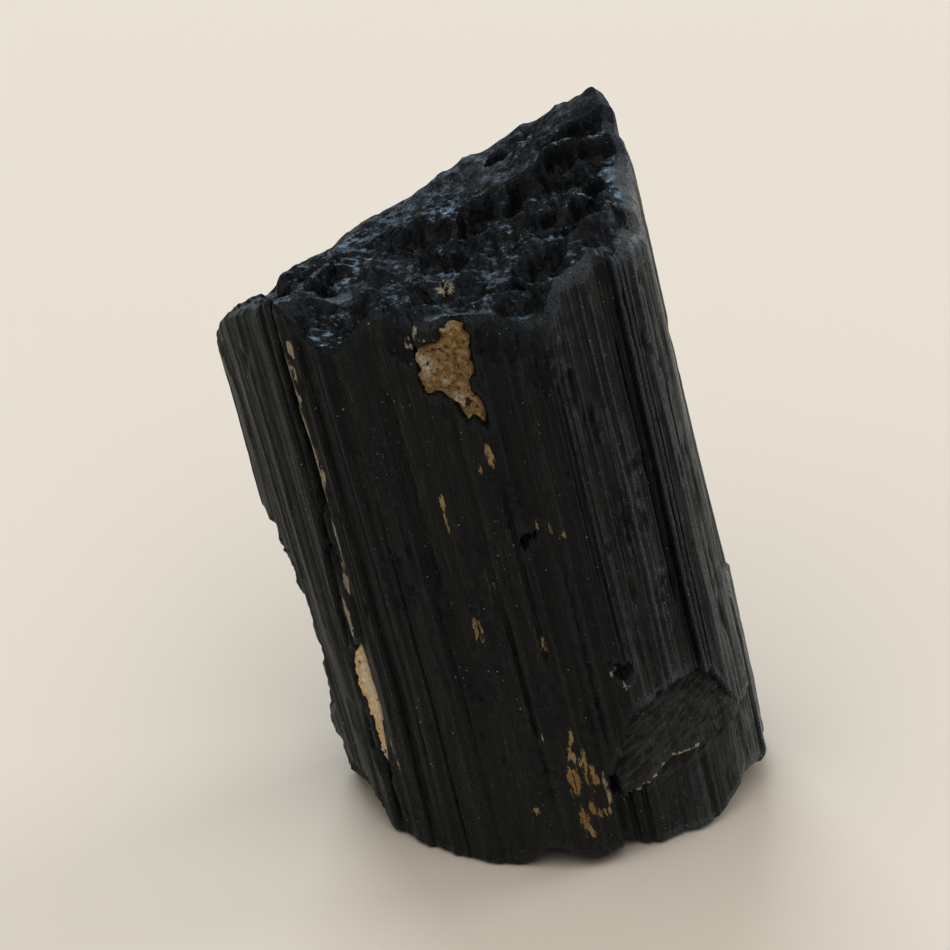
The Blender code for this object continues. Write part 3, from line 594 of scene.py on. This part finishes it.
def crystal_mesh():
    """The whole crystal: its vertices in section millimetres, its faces, and w of the side's vertices."""
    w = columns()
    count = len(w)
    rim = settled_rim(w)
    smooth_rim = outline_at(w)[2]
    t = np.linspace(0, 1, ROWS)[None, :]
    foot = rounded_stretches(w, FOOT_EDGE)[:, None] * (1 - t) ** 4
    z = foot + t * smooth_rim[:, None] + smooth_step(t, 0.75, 1.0) * (rim - smooth_rim)[:, None]
    u, v = side_places(w, z, rim)
    verts = [np.stack([u.T.ravel(), v.T.ravel(), z.T.ravel()], axis=1)]
    faces = []
    for row in range(ROWS - 1):
        low, high = row * count, (row + 1) * count
        for k in range(count):
            ahead = (k + 1) % count
            faces.append((low + k, low + ahead, high + ahead, high + k))
    top = (ROWS - 1, TOP_SPACING, top_height, 5, False)
    bottom = (0, FOOT_SPACING, foot_height, 6, True)
    for row, spacing, height, seed, flip in top, bottom:
        cap_u, cap_v, cap_z, cap_faces = cap(u[:, row], v[:, row], z[:, row], spacing, height, seed)
        start = sum(len(part) for part in verts) - count
        number = np.concatenate([np.arange(count) + row * count, np.arange(count, len(cap_u)) + start])
        verts.append(np.stack([cap_u, cap_v, cap_z], axis=1)[count:])
        for face in cap_faces:
            corners = [int(number[k]) for k in face]
            faces.append(corners[::-1] if flip else corners)
    return np.concatenate(verts), faces, np.tile(w, ROWS)


def crest_heights(mesh, rounds):
    """How far each vertex stands out of the surface as it is once smoothed, in millimetres."""
    count = len(mesh.vertices)
    places, normals = np.empty(count * 3), np.empty(count * 3)
    mesh.vertices.foreach_get("co", places)
    mesh.vertices.foreach_get("normal", normals)
    places, normals = places.reshape(-1, 3) / MM, normals.reshape(-1, 3)
    ends = np.empty(len(mesh.edges) * 2, int)
    mesh.edges.foreach_get("vertices", ends)
    first, second = ends.reshape(-1, 2).T
    sharers = np.bincount(ends, minlength=count)
    smooth = places
    for _ in range(rounds):
        sums = [np.bincount(first, axis[second], count) + np.bincount(second, axis[first], count)
                for axis in smooth.T]
        smooth = np.stack(sums, axis=1) / sharers[:, None]
    return ((places - smooth) * normals).sum(axis=1)


def add_layer(mesh, name, values):
    """A number on each vertex, which the materials read."""
    layer = mesh.attributes.new(name, "FLOAT", "POINT")
    layer.data.foreach_set("value", values)


def add_piece(name, verts, faces, material, node, sharp):
    """A mesh from section coordinates, as a piece that replaces a CAD node."""
    mesh = bpy.data.meshes.new(name)
    mesh.from_pydata(to_frame(*verts.T).tolist(), [], faces)
    mesh.validate()
    mesh.polygons.foreach_set("use_smooth", [True] * len(mesh.polygons))
    mesh.set_sharp_from_angle(angle=math.radians(sharp))
    mesh.materials.append(material)
    obj = bpy.data.objects.new(name, mesh)
    bpy.context.scene.collection.objects.link(obj)
    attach(obj, "root")
    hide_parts(node)
    return obj


# ---- The pale minerals ----
def frayed(outline, spacing, amount, seed):
    """An outline with its sides cut into short stretches that wander in and out."""
    loop = np.array(outline + outline[:1], float)
    run = np.concatenate([[0], np.cumsum(np.linalg.norm(np.diff(loop, axis=0), axis=1))])
    at = np.linspace(0, run[-1], int(run[-1] / spacing), endpoint=False)
    x, y = (np.interp(at, run, loop[:, k]) for k in range(2))
    x = x + amount * fractal(x, y, 0, 0.7, seed)
    y = y + amount * fractal(x, y, 9, 0.7, seed)
    x = x + 0.5 * amount * fractal(x, y, 3, 0.22, seed)
    return list(zip(x.tolist(), y.tolist()))


def crust(outline, spacing, depth, proud, grain, seed):
    """A closed grainy crust over an outline on the side: its vertices, faces, tones and places (w, z)."""
    edge = frayed(outline, spacing, FRAY, seed)
    low = np.min(edge, axis=0)
    high = np.max(edge, axis=0)
    steps = [np.arange(low[k], high[k], spacing) for k in range(2)]
    net_w, net_z = (axis.ravel() for axis in np.meshgrid(*steps))
    rng = np.random.default_rng(seed)
    net_w = net_w + rng.uniform(-0.3, 0.3, len(net_w)) * spacing
    net_z = net_z + rng.uniform(-0.3, 0.3, len(net_z)) * spacing
    keep = distance_inside(net_w, net_z, edge) > 0.5 * spacing
    w = np.concatenate([[p[0] for p in edge], net_w[keep]])
    z = np.concatenate([[p[1] for p in edge], net_z[keep]])
    triangles = triangulated(w, z, len(edge))
    inside = np.maximum(distance_inside(w, z, edge), 0)
    swell = smooth_step(inside, 0, 0.35)
    warp = 0.12 * fractal(w, z, 3, 0.35, seed)
    coarse, tone = grains(w + warp, z - warp, 0.42, seed)
    small, small_tone = grains(w - warp, z + warp, 0.2, seed + 1)
    lumps = grain * (0.7 * coarse + 0.5 * small)
    lumps += 0.22 * fractal(w, z, 0, 1.2, seed) + 0.1 * fractal(w, z, 0, 0.3, seed, 4)
    u, v, _ = outline_at(w)
    normal_u, normal_v = outward_at(w)
    outer_edge, inner_edge = CRUST_EDGES
    outer = outer_edge + swell * (proud + lumps - outer_edge)
    inner = inner_edge - swell * (depth + inner_edge)
    verts = [np.stack([u + normal_u * out, v + normal_v * out, z], axis=1) for out in (outer, inner)]
    count = len(w)
    faces = [tuple(face) for face in triangles]
    faces += [tuple(k + count for k in reversed(face)) for face in triangles]
    turn = sum(a[0] * b[1] - b[0] * a[1] for a, b in zip(edge, edge[1:] + edge[:1]))
    for k in range(len(edge)):
        ahead = (k + 1) % len(edge)
        side = (k, k + count, ahead + count, ahead)
        faces.append(side if turn > 0 else side[::-1])
    return np.concatenate(verts), faces, np.tile(0.6 * tone + 0.4 * small_tone, 2), np.tile([w, z], 2)


# ---- Materials ----
MIX_FIRST, MIX_SECOND, MIX_RESULT = 6, 7, 2  # the Mix node's colour sockets


class Nodes:
    """A short way to add and link shader nodes."""

    def __init__(self, name):
        self.material = bpy.data.materials.new(name)
        self.material.use_nodes = True
        self.tree = self.material.node_tree
        self.shader = self.tree.nodes["Principled BSDF"]

    def add(self, kind, settings, *values, **named_values):
        """A node with these settings, and its inputs set by their order or by name."""
        node = self.tree.nodes.new(f"ShaderNode{kind}")
        for key, value in settings.items():
            setattr(node, key, value)
        for key, value in [*enumerate(values), *named_values.items()]:
            self.set(node, key, value)
        return node

    def set(self, node, key, value):
        socket = node.inputs[key]
        if isinstance(value, bpy.types.NodeSocket):
            self.tree.links.new(value, socket)
        else:
            socket.default_value = value

    def math(self, operation, first, second=0.0, clamp=False):
        return self.add("Math", {"operation": operation, "use_clamp": clamp}, first, second).outputs[0]

    def vector_math(self, operation, first, second):
        return self.add("VectorMath", {"operation": operation}, first, second).outputs

    def times(self, first, second):
        return self.math("MULTIPLY", first, second)

    def plus(self, first, second, clamp=False):
        return self.math("ADD", first, second, clamp)

    def mix(self, factor, first, second):
        node = self.add("Mix", {"data_type": "RGBA", "clamp_factor": True}, factor)
        self.set(node, MIX_FIRST, first)
        self.set(node, MIX_SECOND, second)
        return node.outputs[MIX_RESULT]

    def ramp(self, value, low, high):
        settings = {"clamp": True, "interpolation_type": "SMOOTHSTEP"}
        return self.add("MapRange", settings, value, low, high).outputs[0]

    def noise(self, place, size, detail=2.0, roughness=0.5):
        """Noise with features of this size, in millimetres."""
        node = self.add("TexNoise", {}, Vector=place, Scale=1 / size, Detail=detail, Roughness=roughness)
        return node.outputs["Fac"]

    def facets(self, place, size):
        """Height of small flat facets side by side, each tilted its own way."""
        cells = self.add("TexVoronoi", {}, Vector=place, Scale=1 / size)
        away = self.vector_math("SUBTRACT", place, cells.outputs["Position"])
        tilt = self.vector_math("SUBTRACT", cells.outputs["Color"], (0.5, 0.5, 0.5))
        return self.vector_math("DOT_PRODUCT", away[0], tilt[0])["Value"]

    def attribute(self, name):
        return self.add("Attribute", {"attribute_name": name}).outputs["Fac"]

    def places(self, *shrinks):
        """Object coordinates in millimetres: plain, and upright with the length shrunk by each factor."""
        here = self.add("TexCoord", {}).outputs["Object"]
        plain = self.add("VectorMath", {"operation": "SCALE"}, here, Scale=1 / MM).outputs[0]
        x, y, z = self.add("SeparateXYZ", {}, plain).outputs
        upright = self.math("SUBTRACT", x, self.times(z, LEAN))
        found = [self.add("CombineXYZ", {}, upright, y, self.times(z, shrink)) for shrink in shrinks]
        return [plain, *(node.outputs[0] for node in found)]

    def slanted(self):
        """Object coordinates in millimetres, shrunk along the way that the scar's lines run."""
        here, = self.places()
        x, y, z = self.add("SeparateXYZ", {}, here).outputs
        along = self.times(self.plus(x, self.times(z, 0.7)), 0.15)
        across = self.math("SUBTRACT", z, self.times(x, 0.7))
        return self.add("CombineXYZ", {}, along, self.times(y, 0.5), across).outputs[0]

    def bumps(self, *layers):
        """Bump nodes in a row, each (height, depth in millimetres)."""
        normal = None
        for height, depth in layers:
            node = self.add("Bump", {}, Strength=1.0, Distance=depth * MM, Height=height)
            if normal:
                self.set(node, "Normal", normal)
            normal = node.outputs[0]
        self.set(self.shader, "Normal", normal)


def colour(red, green, blue):
    return (red, green, blue, 1.0)


BLACK, WARM_BLACK = colour(0.002, 0.002, 0.002), colour(0.0125, 0.0128, 0.0092)
COOL_BLACK, PALE_STREAK = colour(0.009, 0.013, 0.02), colour(0.064, 0.065, 0.052)
# Colours: a painted highlight for the top's facets, and a line colour that is both dust and a painted
# highlight on crests
PAINTED_FACET_HIGHLIGHT, LINE_DUST_AND_HIGHLIGHT = colour(0.26, 0.35, 0.44), colour(0.085, 0.105, 0.125)
# Powder is pale dust and also painted sheen along the right-hand silhouette
POWDER_AND_RIM_SHEEN, SHELF_DUST, SPECKS = colour(0.19, 0.19, 0.172), colour(0.075, 0.077, 0.07), colour(0.3, 0.3, 0.28)
OCHRE_STAINS = colour(0.38, 0.29, 0.145), colour(0.33, 0.21, 0.075)
# Cream stain's colour, also used for the painted highlight along the ledge
CREAM_STAIN_AND_LEDGE_HIGHLIGHT, WHITE_GRAINS = colour(0.42, 0.36, 0.26), colour(0.6, 0.6, 0.56)
# Feldspar colours: pale, deep, and the colour painted as shade in hollows and pits
PATCH_COLOURS = colour(0.44, 0.325, 0.18), colour(0.235, 0.145, 0.052), colour(0.06, 0.04, 0.025)
SEAM_COLOURS = colour(0.85, 0.72, 0.53), colour(0.62, 0.42, 0.21), colour(0.5, 0.3, 0.14)
FLOOR_COLOUR = colour(0.785, 0.71, 0.625)
REFLECTION_TINT = colour(0.93, 0.96, 0.98)


def ragged_stain(n, layer, ragged):
    """1 where a layer of stain, or of the painted ledge highlight that shares the cream layer, is strong
    enough to show through this ragged noise, with crisp sides.
    """
    return n.ramp(n.plus(n.attribute(layer), ragged), 1.2, 1.32)


def tourmaline():
    """Black crystal: streaks along its length, dust, ochre and cream stains, painted highlights on the top's
    facets, crests and ledge, painted sheen on the right-hand edge and painted shade in hollows.
    """
    n = Nodes("tourmaline")
    place, longest, long, short = n.places(0.006, 0.025, 0.25)
    streaks = n.noise(long, 0.14, 3.0, 0.7)
    bands = n.noise(long, 1.3, 2.0)
    grain = n.noise(place, 0.11, 3.0, 0.7)
    patches = n.noise(short, 1.6, 4.0, 0.65)
    crest, line, fresh, dust_and_rim_sheen = (n.attribute(name) for name in ("crest", "line", "fresh", "dust_and_rim_sheen"))
    facing = n.add("SeparateXYZ", {}, n.add("NewGeometry", {}).outputs["Normal"])
    upright = n.ramp(facing.outputs[2], 0.75, 0.4)

    lines = n.ramp(n.plus(streaks, n.noise(longest, 0.2, 2.0)), 0.9, 1.12)
    base = n.mix(n.times(lines, n.ramp(bands, 0.3, 0.6)), BLACK, WARM_BLACK)
    hairlines = n.ramp(n.noise(long, 0.09, 2.0, 0.6), 0.57, 0.68)
    base = n.mix(n.times(hairlines, n.ramp(bands, 0.4, 0.6)), base, PALE_STREAK)
    base = n.mix(n.times(n.ramp(grain, 0.56, 0.7), 0.6), base, PALE_STREAK)
    base = n.mix(n.times(n.ramp(patches, 0.52, 0.7), n.ramp(grain, 0.44, 0.6)), base, COOL_BLACK)
    base = n.mix(n.times(fresh, 0.85), base, n.mix(n.ramp(grain, 0.42, 0.62), BLACK, COOL_BLACK))
    low = n.ramp(n.add("SeparateXYZ", {}, place).outputs[2], 30.0, 3.0)
    base = n.mix(n.times(low, n.ramp(grain, 0.3, 0.6)), base, n.mix(0.3, base, PALE_STREAK))

    # Painted highlight: the broken top's upward-facing facets are painted pale blue, as if catching the cool
    # light from above and behind
    across = n.add("Mapping", {}, Vector=place, Scale=(0.35, 1.0, 1.0)).outputs[0]
    level = n.plus(facing.outputs[2], n.times(n.noise(across, 0.5, 5.0, 0.7), 0.9))
    highlighted_facets = n.times(n.attribute("top_highlight"), n.ramp(level, 1.3, 1.46))
    base = n.mix(highlighted_facets, base, PAINTED_FACET_HIGHLIGHT)

    drawn = n.ramp(n.noise(longest, 0.17, 2.0, 0.55), 0.58, 0.66)
    drawn = n.times(drawn, n.ramp(grain, 0.34, 0.56))
    base = n.mix(n.times(drawn, dust_and_rim_sheen), base, LINE_DUST_AND_HIGHLIGHT)
    # Paler crests: partly dust and wear on the edges, partly a painted highlight along the crests
    worn_and_lit_crests = n.times(n.ramp(line, 0.008, 0.035), n.ramp(grain, 0.36, 0.56))
    base = n.mix(n.times(worn_and_lit_crests, n.plus(dust_and_rim_sheen, 0.1)), base, LINE_DUST_AND_HIGHLIGHT)
    wide_drifts = n.times(n.noise(short, 2.2, 4.0, 0.7), 0.7)
    drifts = n.plus(n.noise(long, 0.16, 4.0, 0.75), wide_drifts)
    # Pale powder: dust, and from w 72 to 79 a painted sheen along the right-hand silhouette
    powder_and_rim_sheen = n.times(n.ramp(dust_and_rim_sheen, 0.4, 2.2), n.ramp(drifts, 0.72, 1.0))
    base = n.mix(powder_and_rim_sheen, base, POWDER_AND_RIM_SHEEN)
    # Painted shade: darker in the hollows, where the surface lies below its smoothed self
    base = n.mix(n.ramp(crest, -0.02, -0.12), base, BLACK)
    oblique = n.noise(n.slanted(), 0.45, 5.0, 0.7)
    shelf = n.times(n.attribute("shelf"), n.ramp(oblique, 0.42, 0.62))
    base = n.mix(n.times(shelf, 0.7), base, SHELF_DUST)
    specks = n.add("TexVoronoi", {}, Vector=place, Scale=1 / 0.6)
    dots = n.math("LESS_THAN", specks.outputs["Distance"], n.times(n.noise(place, 1.7), 0.18))
    base = n.mix(n.times(dots, n.ramp(n.noise(place, 1.2), 0.46, 0.6)), base, SPECKS)

    ragged = n.ramp(n.noise(short, 0.42, 5.0, 0.72), 0.36, 0.62)
    ragged = n.math("SUBTRACT", ragged, n.times(n.ramp(n.noise(long, 0.12, 2.0), 0.45, 0.6), 0.12))
    ochre, cream = ragged_stain(n, "ochre", ragged), ragged_stain(n, "cream", ragged)
    tint = n.mix(n.ramp(n.noise(place, 1.4), 0.4, 0.6), *OCHRE_STAINS)
    base = n.mix(n.times(ochre, n.ramp(grain, 0.22, 0.5)), base, tint)
    # Cream stains, and the painted highlight along the ledge, which shares their layer
    base = n.mix(n.times(cream, n.ramp(grain, 0.22, 0.52)), base, CREAM_STAIN_AND_LEDGE_HIGHLIGHT)
    n.set(n.shader, "Base Color", base)

    rough = n.plus(n.times(n.ramp(patches, 0.3, 0.7), 0.12), 0.17)
    rough = n.plus(rough, n.times(n.ramp(grain, 0.4, 0.65), 0.12))
    rough = n.plus(rough, n.times(n.math("MAXIMUM", ochre, cream), 0.35), clamp=True)
    n.set(n.shader, "Roughness", rough)
    n.set(n.shader, "Specular IOR Level", 0.37)
    n.set(n.shader, "Specular Tint", REFLECTION_TINT)
    n.set(n.shader, "Sheen Weight", 0.04)
    n.set(n.shader, "Sheen Roughness", 0.4)
    flakes = n.times(n.plus(n.facets(place, 0.5), n.facets(place, 0.22)), fresh)
    rough_patches = n.noise(place, 0.35, 4.0, 0.7)
    n.bumps((n.times(streaks, upright), 0.04), (grain, 0.03), (rough_patches, 0.05), (flakes, 0.22))
    return n.material


def feldspar(name, pale, deep, shade):
    """Matt grainy mineral: each grain has its own tone, with painted shade in the hollows between grains and
    in dark spots for pits.
    """
    n = Nodes(name)
    place, = n.places()
    tone, crest, paler = (n.attribute(name) for name in ("tone", "crest", "paler"))
    grain = n.noise(place, 0.28, 5.0, 0.75)
    wide = n.noise(place, 1.3, 4.0, 0.65)
    mixed = n.plus(n.times(tone, 0.25), grain)
    base = n.mix(n.ramp(mixed, 0.46, 0.8), deep, pale)
    base = n.mix(n.times(n.ramp(wide, 0.46, 0.62), 0.45), base, deep)
    base = n.mix(n.times(paler, n.ramp(grain, 0.34, 0.56)), base, n.mix(0.55, pale, WHITE_GRAINS))
    # Painted shade in the hollows between grains
    base = n.mix(n.times(n.ramp(crest, -0.03, -0.12), 0.6), base, shade)
    # Painted shade: scattered dark spots standing for shaded pits
    base = n.mix(n.ramp(n.noise(place, 0.9, 3.0, 0.6), 0.63, 0.68), base, shade)
    n.set(n.shader, "Base Color", base)
    n.set(n.shader, "Roughness", 0.72)
    n.set(n.shader, "Specular IOR Level", 0.3)
    n.bumps((grain, 0.1), (n.noise(place, 0.1, 2.0), 0.03))
    return n.material


def floor_material():
    n = Nodes("pale_floor")
    n.set(n.shader, "Base Color", FLOOR_COLOUR)
    n.set(n.shader, "Roughness", 0.9)
    n.set(n.shader, "Specular IOR Level", 0.1)
    return n.material


# ---- Pieces ----
def strongest(x, y, marks, grow_x=1.4, grow_y=1.3, hardness=0.2):
    """How strong the strongest of these oval marks is at each place, 0 to 1."""
    out = np.zeros(len(x))
    for centre_x, centre_y, half_x, half_y, *_ in marks:
        mark = bump(x, y, centre_x, centre_y, half_x * grow_x, half_y * grow_y, hardness)
        out = np.maximum(out, mark)
    return out


def painted_top_highlight(u, v):
    """How strongly the broken top is painted with highlight at these places."""
    out = np.full(len(u), TOP_HIGHLIGHT_ELSEWHERE)
    warp = 0.7 * fractal(u, v, 0, 1.2, 91)
    for centre_u, centre_v, half_u, half_v, strength in TOP_HIGHLIGHT_SPOTS:
        spot = bump(u + warp, v - 0.7 * warp, centre_u, centre_v, half_u, half_v, 0.4)
        out = np.maximum(out, strength * spot)
    return out


def build_crystal():
    verts, faces, side_w = crystal_mesh()
    side_z = verts[:len(side_w), 2]
    cap_u, cap_v, cap_z = verts[len(side_w):].T
    caps = np.ones(len(cap_u))
    obj = add_piece("crystal", verts, faces, tourmaline(), "tourmaline_crystal", sharp=22)
    shelf = smooth_step(distance_inside(side_w, side_z, SCAR), -0.3, 0.6)
    # Painted highlight: a thin pale line along the ledge's edge, as if the edge caught the light; it is
    # carried in the cream layer
    ledge_highlight = 1 - smooth_step(np.abs(side_z - stretches(side_w, LEDGE)), 0.05, 0.35)
    ledge_highlight = ledge_highlight * (side_w > LEDGE_HIGHLIGHT_SPAN[0]) * (side_w < LEDGE_HIGHLIGHT_SPAN[1])
    layers = {  # on the side, and on the top and the foot
        "ochre": (strongest(side_w, side_z, OCHRE), 0 * caps),
        # cream stains, with the painted highlight along the ledge
        "cream": (np.maximum(strongest(side_w, side_z, CREAM), ledge_highlight), strongest(cap_u, cap_v, TOP_CREAM)),
        "fresh": (strongest(side_w, side_z, CHIPS + TORN, 1, 1, 0.7), caps),
        # painted highlight on the broken top only
        "top_highlight": (0 * side_w, painted_top_highlight(cap_u, cap_v) * (cap_z > LOWEST_TOP_HIGHLIGHT)),
        # dust on the side, and painted sheen along the right-hand silhouette
        "dust_and_rim_sheen": (stretches(side_w, DUST_AND_RIM_SHEEN) * (1 - 0.8 * shelf), 0.1 * caps),
        "shelf": (shelf, 0 * caps),
    }
    for name, parts in layers.items():
        add_layer(obj.data, name, np.concatenate(parts))
    for name, rounds in ("crest", 12), ("line", 3):
        add_layer(obj.data, name, crest_heights(obj.data, rounds))


def add_crust(name, mesh, material, node):
    verts, faces, tones, sides = mesh
    obj = add_piece(name, verts, faces, material, node, sharp=60)
    add_layer(obj.data, "tone", tones)
    add_layer(obj.data, "paler", strongest(*sides, PALER))
    add_layer(obj.data, "crest", crest_heights(obj.data, 6))


def build_feldspar():
    cream = feldspar("cream_feldspar", *PATCH_COLOURS)
    add_crust("patch", crust(PATCH, **PATCH_CRUST), cream, "feldspar_patch")
    pale = feldspar("pale_feldspar", *SEAM_COLOURS)
    add_crust("seam", crust(SEAM, **SEAM_CRUST), pale, "feldspar_seam")


# ---- Stage, light and camera ----
CAMERA_ELEVATION = math.radians(32)
CAMERA_DISTANCE = 308 * MM
CAMERA_TARGET = Vector((-6.29, 0, 27.7)) * MM
FRAME_PIXELS = 950
FOCAL_PIXELS = 4000
SENSOR = 36.0
FLOOR_SIZE = 6.0
LIGHTS = [  # name, place, size, power, tint
    ("window", (-0.5, 1.8, 1.45), (1.3, 0.85), 26, (0.74, 0.89, 1.0)),
    ("softbox", (-0.2, -0.8, 2.1), (2.8, 2.4), 30, (0.995, 1.0, 1.0)),
    ("left_fill", (-1.7, 0.0, 1.0), (1.4, 1.2), 1.3, (1.0, 0.95, 0.88)),
    ("right_fill", (1.9, 0.9, 0.6), (0.9, 0.9), 19, (0.94, 0.97, 1.0)),
]
LIGHTS_AIM = Vector((0, 0, 0.025))
STUDIO_COLOUR = (0.99, 0.99, 0.99, 1.0)
STUDIO_STRENGTH = 0.4
GAMMA = 0.7


def add_floor():
    bpy.ops.mesh.primitive_plane_add(size=FLOOR_SIZE, location=(0, 0, 0))
    floor = bpy.context.object
    floor.name = "floor"
    floor.data.materials.append(floor_material())
    floor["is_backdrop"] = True


def add_area_light(name, place, size, power, tint):
    light = bpy.data.lights.new(name, "AREA")
    light.shape = "RECTANGLE"
    light.size, light.size_y = size
    light.energy = power
    light.color = tint
    obj = bpy.data.objects.new(name, light)
    obj.location = place
    obj.rotation_mode = "QUATERNION"
    obj.rotation_quaternion = (LIGHTS_AIM - obj.location).to_track_quat("-Z", "Y")
    bpy.context.scene.collection.objects.link(obj)


def add_lights():
    for light in LIGHTS:
        add_area_light(*light)
    world = bpy.data.worlds.new("studio")
    world.use_nodes = True
    background = world.node_tree.nodes["Background"]
    background.inputs["Color"].default_value = STUDIO_COLOUR
    background.inputs["Strength"].default_value = STUDIO_STRENGTH
    bpy.context.scene.world = world


def add_camera():
    data = bpy.data.cameras.new("camera")
    data.sensor_width = SENSOR
    data.lens = SENSOR * FOCAL_PIXELS / FRAME_PIXELS
    data.clip_start = 0.01
    camera = bpy.data.objects.new("camera", data)
    look = Vector((0, math.cos(CAMERA_ELEVATION), -math.sin(CAMERA_ELEVATION)))
    camera.location = CAMERA_TARGET - look * CAMERA_DISTANCE
    camera.rotation_mode = "QUATERNION"
    camera.rotation_quaternion = look.to_track_quat("-Z", "Y")
    bpy.context.scene.collection.objects.link(camera)
    bpy.context.scene.camera = camera


add_camera()
add_lights()
add_floor()
build_crystal()
build_feldspar()
bpy.context.scene.view_settings.view_transform = "Standard"
bpy.context.scene.view_settings.gamma = GAMMA

boxes = {"cad": CAD_BOX, "visual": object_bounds()}
{name: [list(corner) for corner in box] for name, box in boxes.items()}
